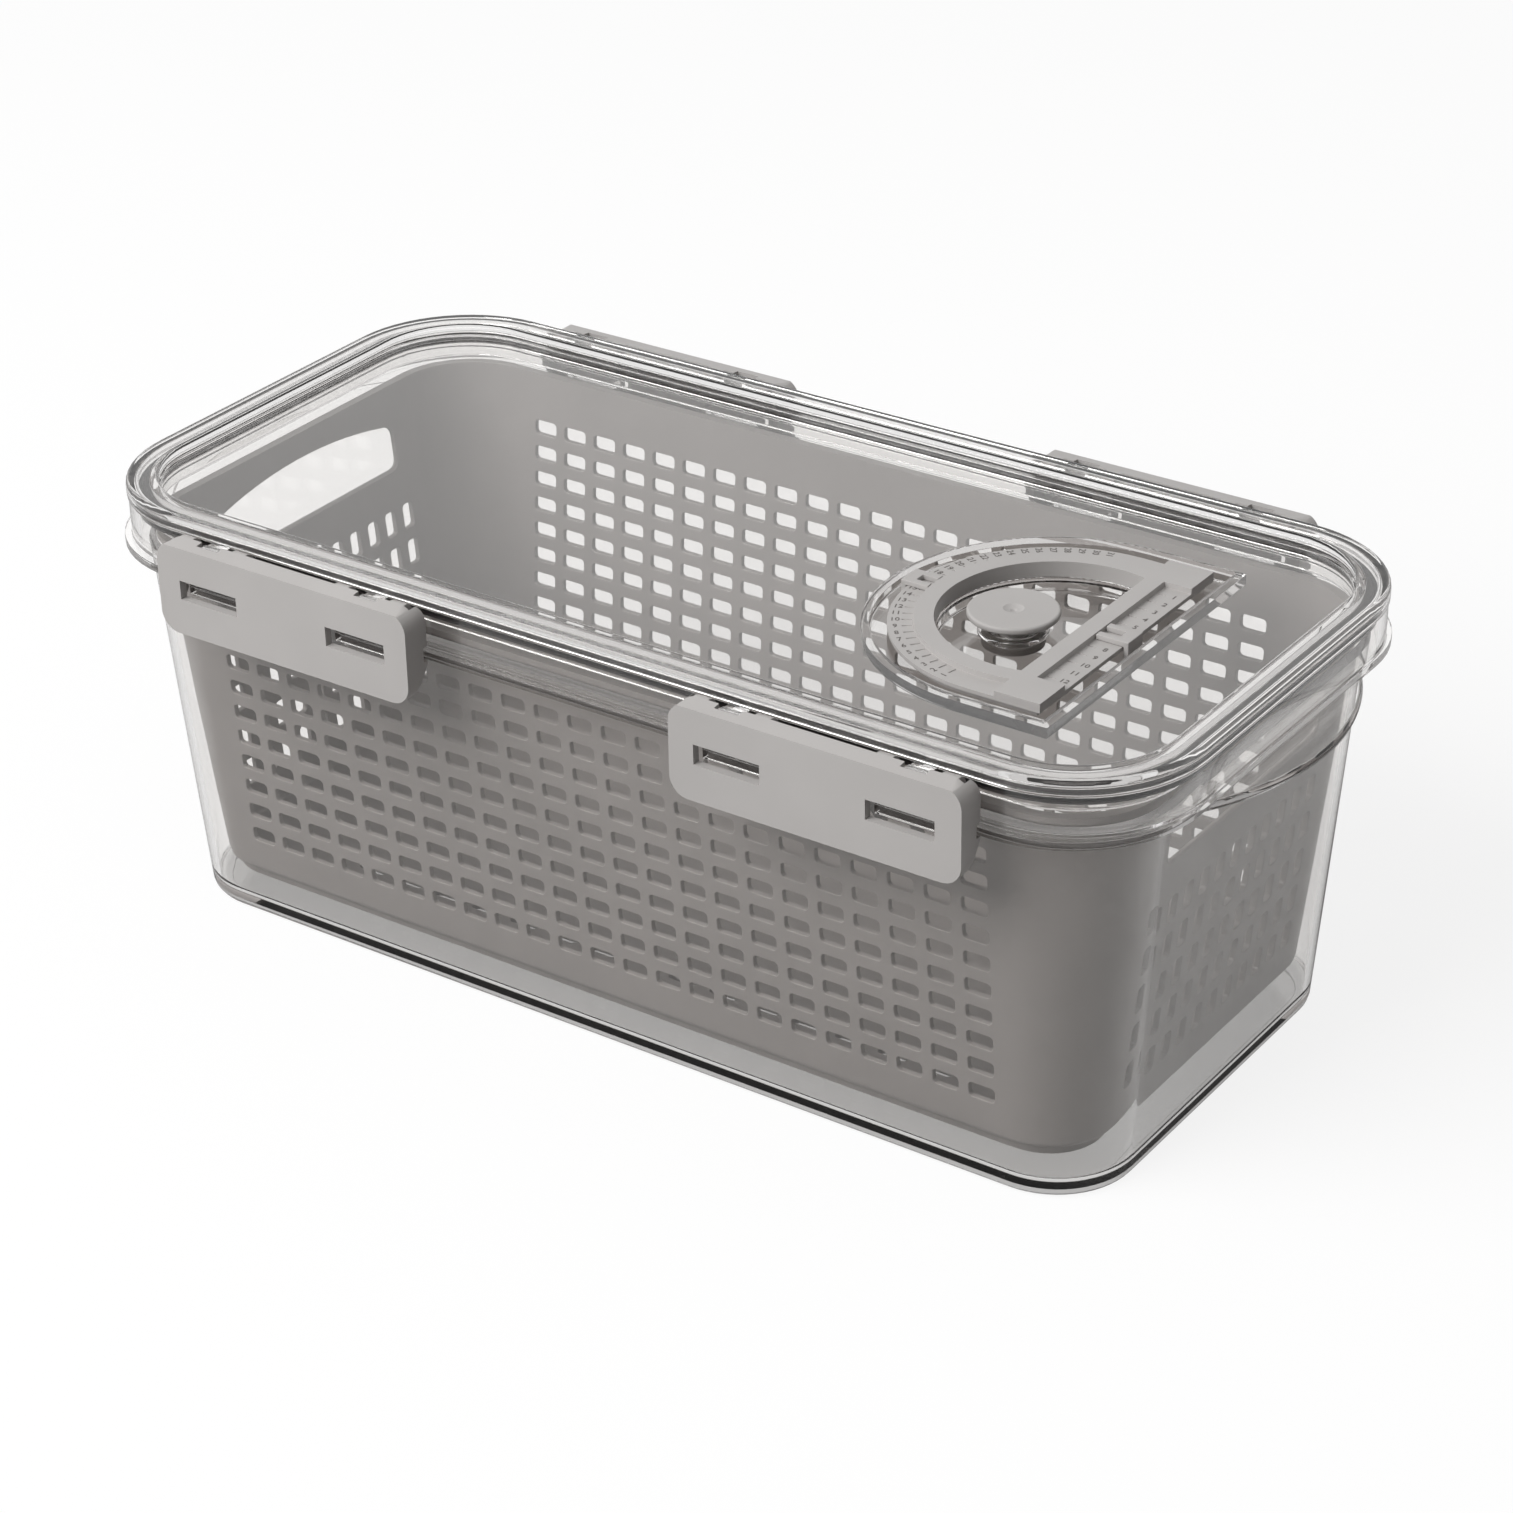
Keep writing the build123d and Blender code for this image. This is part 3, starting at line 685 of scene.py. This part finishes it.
def tub_shell():
    """The tub: foot, tapered wall, flange and collar, up the outside and down the inside."""
    hollow = tub_outline(0, HOLLOW_MARGIN)
    rings = [(hollow, HOLLOW_HEIGHT), (hollow, 0.0)]
    rings += round_rings(tub_outline, 0.0, FOOT_ROUND)
    rings += [(TUB_HIGH, NECK), (FLANGE, NECK), (FLANGE, LEDGE), (COLLAR, LEDGE), (COLLAR, COLLAR_TOP)]
    inner = inset(COLLAR, COLLAR_WALL)
    rings += [(inner, COLLAR_TOP), (inner, LEDGE), (tub_outline(LEDGE, TUB_WALL), LEDGE)]
    rings += round_rings(tub_outline, TUB_FLOOR, TUB_FLOOR_ROUND, TUB_WALL, upward=False)
    return loft("tub", rings)


def end_lip(side, edge):
    """A half-moon lip at one end, let into the tub's wall."""
    depth = LIP_REACH - LIP_ROOT
    radius = (LIP_HALF_WIDTH ** 2 + depth ** 2) / (2 * depth)
    centre = side * (LIP_REACH - radius)
    lip = rod("lip", radius, (centre, 0, LIP_BOTTOM), (centre, 0, LIP_TOP), steps=160)
    soften(lip, edge)
    edit(lip)
    bpy.ops.mesh.bisect(plane_co=(side * LIP_BURIED_END, 0, 0), plane_no=(side, 0, 0), use_fill=True,
                        clear_inner=True)
    return close(lip)


def latch_lug(x, side):
    """A lug of the tub that a latch's slot snaps over."""
    near, far = sorted((side * LUG_ROOT, side * (LATCH_FACE - LUG_SETBACK)))
    lug = box("lug", (x - LUG_HALF_WIDTH, near, LUG_BOTTOM), (x + LUG_HALF_WIDTH, far, LUG_TOP))
    return soften(lug, LUG_EDGE)


def latch_places():
    """The row, the column and the two signs of each latch."""
    for row, side_y in (("front", -1), ("back", 1)):
        for column, side_x in (("left", -1), ("right", 1)):
            yield row, column, side_x, side_y


class KEEPER_OT_tub(bpy.types.Operator):
    """Build the clear tub with its lips and latch lugs"""

    bl_idname = "keeper.tub"
    bl_label = "Tub"

    def execute(self, context):
        sizes = context.scene.keeper_sizes
        tub = soften(tub_shell(), sizes.edge)
        for side in (-1, 1):
            combine(tub, end_lip(side, sizes.lip_edge), "UNION")
        for _, _, side_x, side_y in latch_places():
            for spot in (-LUG_SPREAD, LUG_SPREAD):
                combine(tub, latch_lug(side_x * LATCH_X + spot, side_y), "UNION")
        finish_piece(tub, clear_material(), "container", "clear_shell", "container")
        return {"FINISHED"}


def cell(name, pitch, hole, wall, sizes):
    """One cell of a perforated wall, facing -Y: a face with a rounded and chamfered hole."""
    deselect()
    chamfer = sizes.hole_chamfer
    bpy.ops.mesh.primitive_plane_add(size=1, location=(0, 0, 0), rotation=(math.radians(90), 0, 0))
    obj = bpy.context.object
    obj.name = name
    bpy.ops.object.transform_apply(rotation=True)
    edit(obj)
    bpy.ops.transform.translate(value=(0, -wall / 2, 0))
    bpy.ops.transform.resize(value=(pitch[0], 1, pitch[1]), center_override=(0, 0, 0))
    bpy.ops.mesh.select_mode(type="FACE")
    outer = [hole[i] + 2 * chamfer for i in (0, 1)]
    margin = min(pitch[i] - outer[i] for i in (0, 1)) / 2
    bpy.ops.mesh.inset(thickness=margin)
    grow = [outer[i] / (pitch[i] - 2 * margin) for i in (0, 1)]
    bpy.ops.transform.resize(value=(grow[0], 1, grow[1]), center_override=(0, 0, 0))
    bpy.ops.mesh.bevel(offset=sizes.hole_corner + chamfer, segments=3, affect="VERTICES")

    # Only the large middle face goes inwards, not the small ones at its corners.
    pick_faces(obj, lambda face: face.calc_area() > 0.9 * hole[0] * hole[1])
    bpy.ops.mesh.extrude_region_move(TRANSFORM_OT_translate={"value": (0, chamfer, 0)})
    shrink = [hole[i] / outer[i] for i in (0, 1)]
    bpy.ops.transform.resize(value=(shrink[0], 1, shrink[1]), center_override=(0, 0, 0))
    bpy.ops.mesh.extrude_region_move(TRANSFORM_OT_translate={"value": (0, wall / 2 - chamfer, 0)})
    bpy.ops.mesh.delete(type="FACE")
    close(obj)
    return apply_modifier(obj, "MIRROR", use_axis=(False, True, False), merge_threshold=0.001)


def perforated(name, holes, sizes):
    """A flat perforated wall about its middle, facing -Y."""
    pitch = holes["pitch"]
    columns, rows = holes["count"]
    obj = cell(name, pitch, holes["size"], BASKET_WALL, sizes)
    for count, step in ((columns, (pitch[0], 0, 0)), (rows, (0, 0, pitch[1]))):
        apply_modifier(obj, "ARRAY", count=count, use_relative_offset=False, use_constant_offset=True,
                       constant_offset_displace=step, use_merge_vertices=True, merge_threshold=0.001)
    shift = (-(columns - 1) * pitch[0] / 2, 0, -(rows - 1) * pitch[1] / 2)
    obj.data.transform(Matrix.Translation(shift))
    return obj


def middle_row(holes):
    """The height of the middle of a wall's holes."""
    return holes["lowest"] + (holes["count"][1] - 1) / 2 * holes["pitch"][1]


def grip_window(half, bottom, side_top, middle_top, steps=12):
    """The tube of a grip opening in an end wall, facing -Y, with chamfered rims."""
    deselect()
    bpy.ops.mesh.primitive_plane_add(size=1, location=(0, 0, 0), rotation=(math.radians(90), 0, 0))
    obj = bpy.context.object
    obj.name = "grip"
    bpy.ops.object.transform_apply(rotation=True)
    edit(obj)
    bpy.ops.transform.translate(value=(0, -BASKET_WALL / 2, 0.5))
    bpy.ops.transform.resize(value=(2 * half, 1, side_top - bottom), center_override=(0, 0, 0))
    bpy.ops.transform.translate(value=(0, 0, bottom))
    bpy.ops.mesh.bevel(offset=GRIP_CORNER, segments=4, affect="VERTICES")
    pick_edges(obj, lambda edge: min(v.co.z for v in edge.verts) > side_top - 0.01)
    bpy.ops.mesh.subdivide(number_cuts=steps)
    mesh = bmesh.from_edit_mesh(obj.data)
    for v in mesh.verts:
        if v.co.z > side_top - GRIP_CORNER - 0.01:
            share = min(1, (v.co.z - side_top + GRIP_CORNER) / GRIP_CORNER)
            v.co.z += share * (middle_top - side_top) * (1 - (v.co.x / half) ** 2)
    bmesh.update_edit_mesh(obj.data)
    bpy.ops.mesh.select_all(action="SELECT")
    bpy.ops.mesh.select_mode(type="FACE")
    middle = (0, 0, (bottom + middle_top) / 2)
    shrink = (1 - GRIP_CHAMFER / half, 1, 1 - 2 * GRIP_CHAMFER / (middle_top - bottom))
    bpy.ops.mesh.extrude_region_move(TRANSFORM_OT_translate={"value": (0, GRIP_CHAMFER, 0)})
    bpy.ops.transform.resize(value=shrink, center_override=middle)
    bpy.ops.mesh.extrude_region_move(TRANSFORM_OT_translate={
        "value": (0, BASKET_WALL / 2 - GRIP_CHAMFER, 0)})
    bpy.ops.mesh.delete(type="FACE")
    pick_faces(obj, lambda face: abs(face.normal.y) > 0.99)
    bpy.ops.mesh.delete(type="FACE")
    close(obj)
    return apply_modifier(obj, "MIRROR", use_axis=(False, True, False), merge_threshold=0.001)


def stand_up(obj, height, turn, foot, slope):
    """Raises a flat wall to its height, leans it outwards, and turns it to its side of the basket."""
    obj.data.transform(Matrix.Translation((0, BASKET_WALL / 2, height)))
    lean = Matrix.Identity(4)
    lean[1][2] = -slope
    obj.data.transform(Matrix.Translation((0, -foot, 0)) @ lean)
    obj.data.transform(Matrix.Rotation(math.radians(turn), 4, "Z"))
    return obj


def wall_plane(axis):
    """How far the basket's outer side lies from the middle at its foot, and how far it leans."""
    index = 0 if axis == "x" else 1
    rise = (BASKET_HIGH[index] - BASKET_LOW[index]) / 2 / (BASKET_TOP - BASKET_BOTTOM)
    return BASKET_LOW[index] / 2 - rise * BASKET_BOTTOM, rise


def basket_shell():
    """The basket without its holes, up the outside and down the inside."""
    lip = inset(BASKET_HIGH, -BASKET_LIP_REACH)
    rings = round_rings(basket_outline, BASKET_BOTTOM, BASKET_ROUND)
    rings += [(basket_outline(BASKET_LIP_BOTTOM), BASKET_LIP_BOTTOM), (lip, BASKET_LIP_BOTTOM),
              (lip, BASKET_TOP), (inset(BASKET_HIGH, BASKET_WALL), BASKET_TOP)]
    rings += round_rings(basket_outline, BASKET_BOTTOM + BASKET_FLOOR, BASKET_INNER_ROUND, BASKET_WALL,
                         upward=False)
    return loft("basket", rings)


def basket_underside():
    """The rail and the feet under the basket."""
    outer = inset(BASKET_LOW, RAIL_MARGIN)
    inner = inset(outer, RAIL_WIDTH)
    rail = loft("rail", [(outer, RAIL_BOTTOM), (outer, UNDERSIDE_TOP)])
    combine(rail, loft("rail_inside", [(inner, height) for height in RAIL_CUT]), "DIFFERENCE")
    soften(rail, RAIL_EDGE, segments=2)
    feet = []
    for x in FEET_X:
        for y in FEET_Y:
            foot = rod("foot", FEET_RADIUS, (x, y, TUB_FLOOR), (x, y, UNDERSIDE_TOP), steps=40)
            feet.append(soften(foot, FEET_EDGE, segments=2))
    return join(rail, *feet)


def drain_tools():
    """The slots in the basket's floor, clear of its feet, as one tool."""
    places = []
    for column in range(DRAIN_COUNT[0]):
        for row in range(DRAIN_COUNT[1]):
            x = (column - DRAIN_COUNT[0] // 2) * DRAIN_PITCH[0]
            y = (row - DRAIN_COUNT[1] // 2) * DRAIN_PITCH[1]
            if min(math.hypot(x - a, y - b) for a in FEET_X for b in FEET_Y) > DRAIN_CLEARANCE:
                places.append((x, y))
    half_length, half_width = (size / 2 for size in DRAIN_SIZE)
    first = box("drain", (-half_length, -half_width, DRAIN_CUT[0]), (half_length, half_width, DRAIN_CUT[1]))
    edit(first)
    pick_edges(first, lambda edge: abs(edge.verts[0].co.z - edge.verts[1].co.z) > 1)
    bpy.ops.mesh.bevel(offset=DRAIN_ROUND, segments=3)
    close(first)
    copies = []
    for x, y in places:
        slot = bpy.data.objects.new("drain", first.data.copy())
        bpy.context.scene.collection.objects.link(slot)
        slot.data.transform(Matrix.Translation((x, y, 0)))
        copies.append(slot)
    bpy.data.objects.remove(first)
    return join(*copies)


def boundary_on(plane):
    """A test for open edges that lie in a leaning wall plane."""
    def test(edge):
        return len(edge.link_faces) == 1 and all(plane(v.co) for v in edge.verts)
    return test


class KEEPER_OT_basket(bpy.types.Operator):
    """Build the perforated basket with its grips, drain slots and feet"""

    bl_idname = "keeper.basket"
    bl_label = "Basket"

    def execute(self, context):
        sizes = context.scene.keeper_sizes
        basket = combine(basket_shell(), drain_tools(), "DIFFERENCE")
        foot_x, lean_x = wall_plane("x")
        foot_y, lean_y = wall_plane("y")

        # The flat outer and inner sides are taken out, so that walls with holes can go in.
        planes = []
        for depth in (0, BASKET_WALL):
            for side in (-1, 1):
                planes.append(lambda co, s=side, d=depth: abs(co.x * s - foot_x - lean_x * co.z + d) < 0.02)
                planes.append(lambda co, s=side, d=depth: abs(co.y * s - foot_y - lean_y * co.z + d) < 0.02)
        edit(basket, False)
        pick_faces(basket, lambda face: any(all(plane(v.co) for v in face.verts) for plane in planes))
        bpy.ops.mesh.delete(type="FACE")
        close(basket)

        walls = []
        for turn in (0, 180):
            side = perforated("side_wall", SIDE_HOLES, sizes)
            walls.append(stand_up(side, middle_row(SIDE_HOLES), turn, foot_y, lean_y))
        for turn in (90, 270):
            end = perforated("end_wall", END_HOLES, sizes)
            walls.append(stand_up(end, middle_row(END_HOLES), turn, foot_x, lean_x))
            grip = grip_window(GRIP_HALF_WIDTH, GRIP_BOTTOM, GRIP_SIDE_TOP, GRIP_MIDDLE_TOP)
            walls.append(stand_up(grip, 0, turn, foot_x, lean_x))

        # Each side is filled in round its holes and its grip.
        join(basket, *walls)
        edit(basket, False)
        for plane in planes:
            pick_edges(basket, boundary_on(plane))
            bpy.ops.mesh.fill(use_beauty=False)
        bpy.ops.mesh.select_mode(type="VERT")
        bpy.ops.mesh.select_all(action="SELECT")
        bpy.ops.mesh.remove_doubles(threshold=0.002)
        bpy.ops.mesh.normals_make_consistent(inside=False)
        close(basket)
        join(basket, basket_underside())
        finish_piece(basket, basket_material(), "basket", "basket_plastic", "basket", angle=20)
        return {"FINISHED"}


def quarter(radius, steps=5):
    """How far in and how far down the points of a rounded top edge lie, from its outer end."""
    turns = [math.radians(90 * i / steps) for i in range(steps + 1)]
    return [(radius * (1 - math.cos(turn)), radius * (1 - math.sin(turn))) for turn in turns]


def lid_shell():
    """The lid: from under the panel out round the plug and the rim to the top of the panel."""
    shelf_bottom = SHELF_TOP - SHELF_THICKNESS
    steps = [(PLUG_INNER, PANEL_BOTTOM), (PLUG_INNER, PLUG_BOTTOM), (PLUG_OUTER, PLUG_BOTTOM),
             (PLUG_OUTER, shelf_bottom), (SHELF_EDGE, shelf_bottom), (SHELF_EDGE, SHELF_TOP),
             (PLUG_OUTER, SHELF_TOP), (PLUG_OUTER, GROOVE_TOP), (GROOVE_EDGE, GROOVE_TOP),
             (GROOVE_EDGE, COLLAR_TOP), (0, COLLAR_TOP)]
    steps += [(depth, LID_TOP - drop) for depth, drop in quarter(RIM_OUTER_ROUND)]
    steps += [(PLUG_INNER - depth, LID_TOP - drop) for depth, drop in quarter(RIM_INNER_ROUND)[::-1]]
    steps.append((PLUG_INNER, PANEL_TOP))
    return loft("lid", [(inset(LID, depth), height) for depth, height in steps])


def lid_ear(x, side):
    """An ear of the lid that holds a hinge pin."""
    def along_hinge(name, radius, half, steps):
        start, end = ((x + shift, side * HINGE_Y, HINGE_Z) for shift in (-half, half))
        return rod(name, radius, start, end, steps, turn=(0, math.radians(90), 0))
    left, right = x - EAR_HALF_WIDTH, x + EAR_HALF_WIDTH
    ear = along_hinge("ear", EAR_RADIUS, EAR_HALF_WIDTH, 32)
    for name, start, bottom, top in (("root", EAR_ROOT_Y, COLLAR_TOP, EAR_ROOT_TOP),
                                     ("neck", EAR_NECK_Y, EAR_NECK_BOTTOM, EAR_NECK_TOP)):
        low, high = sorted((side * start, side * HINGE_Y))
        combine(ear, box(name, (left, low, bottom), (right, high, top)), "UNION")
    return combine(ear, along_hinge("bore", PIN_BORE_RADIUS, PIN_BORE_HALF_LENGTH, 24), "DIFFERENCE")


def dial_pocket(lid, edge):
    """Sinks the dial's pocket and the vent's well into the lid, each with a wall under the panel."""
    pocket_base = POCKET_FLOOR - POCKET_WALL
    pocket_wall = dial_block("pocket_wall", POCKET_RADIUS + POCKET_WALL, DIAL_X, POCKET_SIDE + POCKET_WALL,
                             pocket_base, PANEL_BOTTOM + POCKET_OVERLAP, edge)
    well_wall = dial_block("well_wall", WELL_RADIUS + POCKET_WALL, WELL_SIDE + POCKET_WALL, 0,
                           WELL_FLOOR - POCKET_WALL, pocket_base + POCKET_OVERLAP, edge)
    pocket = dial_block("pocket", POCKET_RADIUS, DIAL_X, POCKET_SIDE, POCKET_FLOOR, PANEL_TOP + CUT_MARGIN,
                        edge)
    well = dial_block("well", WELL_RADIUS, WELL_SIDE, 0, WELL_FLOOR, POCKET_FLOOR + CUT_MARGIN, edge)
    for wall in (pocket_wall, well_wall):
        combine(lid, wall, "UNION")
    for hollow in (pocket, well):
        combine(lid, hollow, "DIFFERENCE")


def vent_rod(name, radius, bottom, top, steps):
    """A round bar on the vent's axis."""
    return rod(name, radius, (VENT_X, 0, bottom), (VENT_X, 0, top), steps)


def vent_seat(lid):
    """Raises the vent's seat on the well's floor and bores the stem's hole through it."""
    seat = vent_rod("seat", SEAT_RADIUS, SEAT_BOTTOM, SEAT_TOP, 64)
    combine(seat, vent_rod("seat_hole", SEAT_BORE_RADIUS, *SEAT_CUT, 64), "DIFFERENCE")
    combine(lid, soften(seat, SEAT_EDGE, segments=2), "UNION")
    combine(lid, vent_rod("stem_hole", STEM_BORE_RADIUS, *STEM_CUT, 48), "DIFFERENCE")


class KEEPER_OT_lid(bpy.types.Operator):
    """Build the clear lid with its dial pocket, vent well and hinge ears"""

    bl_idname = "keeper.lid"
    bl_label = "Lid"

    def execute(self, context):
        edge = context.scene.keeper_sizes.edge
        lid = soften(lid_shell(), edge)
        dial_pocket(lid, edge)
        vent_seat(lid)
        for _, _, side_x, side_y in latch_places():
            for spot in (-EAR_SPREAD, EAR_SPREAD):
                combine(lid, lid_ear(side_x * LATCH_X + spot, side_y), "UNION")
        finish_piece(lid, clear_material(), "lid", "clear_lid", "lid")
        return {"FINISHED"}


class KEEPER_OT_latches(bpy.types.Operator):
    """Build the snap latches and finish their hinge pins"""

    bl_idname = "keeper.latches"
    bl_label = "Latches"

    def execute(self, context):
        first = copy_node("latch_front_left", "snap", context.scene.keeper_sizes.trim_edge, segments=3)
        first.data.transform(Matrix.Translation((LATCH_X, 0, 0)))
        for row, column, side_x, side_y in latch_places():
            node = f"latch_{row}_{column}"
            latch = bpy.data.objects.new(f"snap_{row}_{column}", first.data.copy())
            context.scene.collection.objects.link(latch)
            turn = Matrix.Rotation(math.pi if side_y > 0 else 0.0, 4, "Z")
            latch.data.transform(Matrix.Translation((side_x * LATCH_X, 0, 0)) @ turn)
            finish_piece(latch, trim_material(), node, "trim_plastic", node)
            paint_node(f"latch_pin_{row}_{column}", steel_material())
        bpy.data.objects.remove(first)
        return {"FINISHED"}


def paint_node(node, material):
    """Gives a CAD node that stays its finish."""
    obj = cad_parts[node]
    obj.data.materials.clear()
    obj.data.materials.append(material)


def number(text, place, turn, sizes):
    """One number of the dial, as a thin mesh."""
    deselect()
    bpy.ops.object.text_add(location=place, rotation=(0, 0, turn))
    obj = bpy.context.object
    obj.data.body = text
    obj.data.size = sizes.number_size
    obj.data.extrude = sizes.number_height
    obj.data.resolution_u = 2
    obj.data.align_x = "CENTER"
    obj.data.align_y = "CENTER"
    bpy.ops.object.convert(target="MESH")
    bpy.ops.object.transform_apply(location=True, rotation=True, scale=True)
    return obj


class KEEPER_OT_dial(bpy.types.Operator):
    """Build the date dial, its numbers and its two pointers"""

    bl_idname = "keeper.dial"
    bl_label = "Date dial"

    def execute(self, context):
        sizes = context.scene.keeper_sizes
        plate = copy_node("date_dial_plate", "dial_plate", sizes.dial_edge)
        finish_piece(plate, trim_material(), "lid", "trim_plastic", "date_dial_plate")
        for node, name in (("day_pointer", "day_slider"), ("month_pointer", "month_slider")):
            pointer = copy_node(node, name, sizes.dial_edge)
            finish_piece(pointer, trim_material(), node, "trim_plastic", node)

        numbers = []
        for day in range(DAYS):
            turn = math.radians(180 + (day / (DAYS - 1) - 0.5) * DAY_SWEEP)
            place = (DIAL_X + DAY_RING * math.cos(turn), DAY_RING * math.sin(turn), PLATE_TOP)
            numbers.append(number(str(DAYS - day), place, turn + math.pi, sizes))
        for month in range(MONTHS):
            place = (MONTH_X, (month / (MONTHS - 1) - 0.5) * MONTH_SPAN, PLATE_TOP)
            numbers.append(number(str(MONTHS - month), place, 0, sizes))
        marks = join(*numbers)
        marks.name = "dial_numbers"
        finish_piece(marks, marks_material(), "lid", "trim_plastic")
        return {"FINISHED"}


class KEEPER_OT_vent(bpy.types.Operator):
    """Finish the vent knob, its seal and its clip"""

    bl_idname = "keeper.vent"
    bl_label = "Air vent"

    def execute(self, context):
        knob = copy_node("vent_knob", "vent_button")
        top = max(v.co.z for v in knob.data.vertices)
        deselect()
        bpy.ops.mesh.primitive_uv_sphere_add(segments=64, ring_count=64, radius=DISH_RADIUS,
                                             location=(VENT_X, 0, top + DISH_RADIUS - DISH_DEPTH))
        dish = context.object
        bpy.ops.object.transform_apply(location=True, rotation=True, scale=True)
        combine(knob, dish, "DIFFERENCE")
        finish_piece(knob, trim_material(), "vent", "trim_plastic", "vent_knob")
        paint_node("vent_seal", vent_material())
        paint_node("vent_clip", trim_material())
        return {"FINISHED"}


class KEEPER_OT_gasket(bpy.types.Operator):
    """Build the soft gasket round the lid's plug"""

    bl_idname = "keeper.gasket"
    bl_label = "Gasket"

    def execute(self, context):
        gasket = copy_node("lid_gasket", "gasket", GASKET_EDGE)
        finish_piece(gasket, seal_material(), "lid", "seal_rubber", "lid_gasket")
        return {"FINISHED"}


def softbox(name, place, size, power):
    """A rectangular studio lamp that points at the keeper and shows in no mirror image."""
    data = bpy.data.lights.new(name, "AREA")
    data.shape = "RECTANGLE"
    data.size, data.size_y = size
    data.energy = power
    lamp = bpy.data.objects.new(name, data)
    bpy.context.scene.collection.objects.link(lamp)
    lamp.visible_glossy = False
    lamp.location = place
    aim = Vector(LAMP_TARGET) - Vector(place)
    lamp.rotation_euler = aim.to_track_quat("-Z", "Y").to_euler()


def studio_world():
    """Soft dim light from all round, and a white surround wherever it is seen."""
    world = bpy.data.worlds.new("studio")
    bpy.context.scene.world = world
    world.use_nodes = True
    tree = world.node_tree
    tree.nodes.clear()
    rays = add_node(tree, "ShaderNodeLightPath")
    place = add_node(tree, "ShaderNodeTexCoord").outputs["Generated"]
    height = add_node(tree, "ShaderNodeSeparateXYZ", {"Vector": place}).outputs["Z"]

    # The light is stronger from above, and the seen white is a little greyer there.
    soft = add_node(tree, "ShaderNodeBackground", {
        "Color": (1, 0.99, 0.98, 1), "Strength": spread(tree, height, 0.16, 0.32, -0.1, 0.9)})
    white = add_node(tree, "ShaderNodeBackground", {
        "Color": (1, 1, 1, 1), "Strength": spread(tree, height, 1.0, 0.78, 0.0, 0.8)})
    direct = add_node(tree, "ShaderNodeMath", {
        0: rays.outputs["Is Camera Ray"], 1: rays.outputs["Is Glossy Ray"]}, operation="MAXIMUM")
    seen = add_node(tree, "ShaderNodeMath", {
        0: direct.outputs[0], 1: rays.outputs["Is Transmission Ray"]}, operation="MAXIMUM")
    mix = add_node(tree, "ShaderNodeMixShader", {
        0: seen.outputs[0], 1: soft.outputs["Background"], 2: white.outputs["Background"]})
    add_node(tree, "ShaderNodeOutputWorld", {"Surface": mix.outputs["Shader"]})


def aim_camera():
    """The camera at the photograph's angle."""
    place = Vector(CAMERA_PLACE)
    look = (Vector(CAMERA_TARGET) - place).normalized()
    level = look.cross(Vector((0, 0, 1))).normalized()
    upright = level.cross(look)
    roll = math.radians(CAMERA_ROLL)
    right = math.cos(roll) * level + math.sin(roll) * upright
    up = math.cos(roll) * upright - math.sin(roll) * level
    data = bpy.data.cameras.new("camera")
    data.lens = CAMERA_LENS
    data.sensor_width = CAMERA_SENSOR
    camera = bpy.data.objects.new("camera", data)
    bpy.context.scene.collection.objects.link(camera)
    camera.matrix_world = Matrix.Translation(place) @ Matrix((right, up, -look)).transposed().to_4x4()
    bpy.context.scene.camera = camera


class KEEPER_OT_stage(bpy.types.Operator):
    """Set up the floor, the lamps, the world and the camera"""

    bl_idname = "keeper.stage"
    bl_label = "Stage"

    def execute(self, context):
        deselect()
        bpy.ops.mesh.primitive_plane_add(size=FLOOR_WIDTH, location=(0, 0, -FLOOR_DROP))
        floor = context.object
        floor.name = "floor"
        colours = context.scene.keeper_colours
        floor.data.materials.append(pale_floor("floor_paper", colours.floor, colours.bounce))
        softbox("key", place=(-0.58, -1.2, 1.27), size=(1.5, 1.2), power=37.0)
        softbox("back", place=(1.0, 1.3, 0.9), size=(1.0, 0.6), power=1.5)
        studio_world()
        aim_camera()
        context.scene.view_settings.view_transform = "Standard"
        return {"FINISHED"}


class KEEPER_PT_panel(bpy.types.Panel):
    """The keeper's sizes, colours and pieces"""

    bl_idname = "KEEPER_PT_panel"
    bl_label = "Produce keeper"
    bl_space_type = "VIEW_3D"
    bl_region_type = "UI"
    bl_category = "Keeper"

    def draw(self, context):
        layout = self.layout
        for group in (context.scene.keeper_sizes, context.scene.keeper_colours):
            box_layout = layout.box()
            for name in group.__annotations__:
                box_layout.prop(group, name)
        for operator in OPERATORS:
            layout.operator(operator.bl_idname)


OPERATORS = (KEEPER_OT_stage, KEEPER_OT_tub, KEEPER_OT_basket, KEEPER_OT_lid, KEEPER_OT_gasket,
             KEEPER_OT_latches, KEEPER_OT_dial, KEEPER_OT_vent)
CLASSES = (KeeperSizes, KeeperColours, *OPERATORS, KEEPER_PT_panel)


def register():
    """Registers the classes and the keeper's settings."""
    for each in CLASSES:
        bpy.utils.register_class(each)
    bpy.types.Scene.keeper_sizes = bpy.props.PointerProperty(type=KeeperSizes)
    bpy.types.Scene.keeper_colours = bpy.props.PointerProperty(type=KeeperColours)


def unregister():
    """Takes the settings and the classes away again."""
    del bpy.types.Scene.keeper_sizes
    del bpy.types.Scene.keeper_colours
    for each in reversed(CLASSES):
        bpy.utils.unregister_class(each)


def main():
    """Builds every piece."""
    register()
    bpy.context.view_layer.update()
    deselect()
    bpy.ops.keeper.stage()
    bpy.ops.keeper.tub()
    bpy.ops.keeper.basket()
    bpy.ops.keeper.lid()
    bpy.ops.keeper.gasket()
    bpy.ops.keeper.latches()
    bpy.ops.keeper.dial()
    bpy.ops.keeper.vent()


if __name__ == "__main__":
    main()
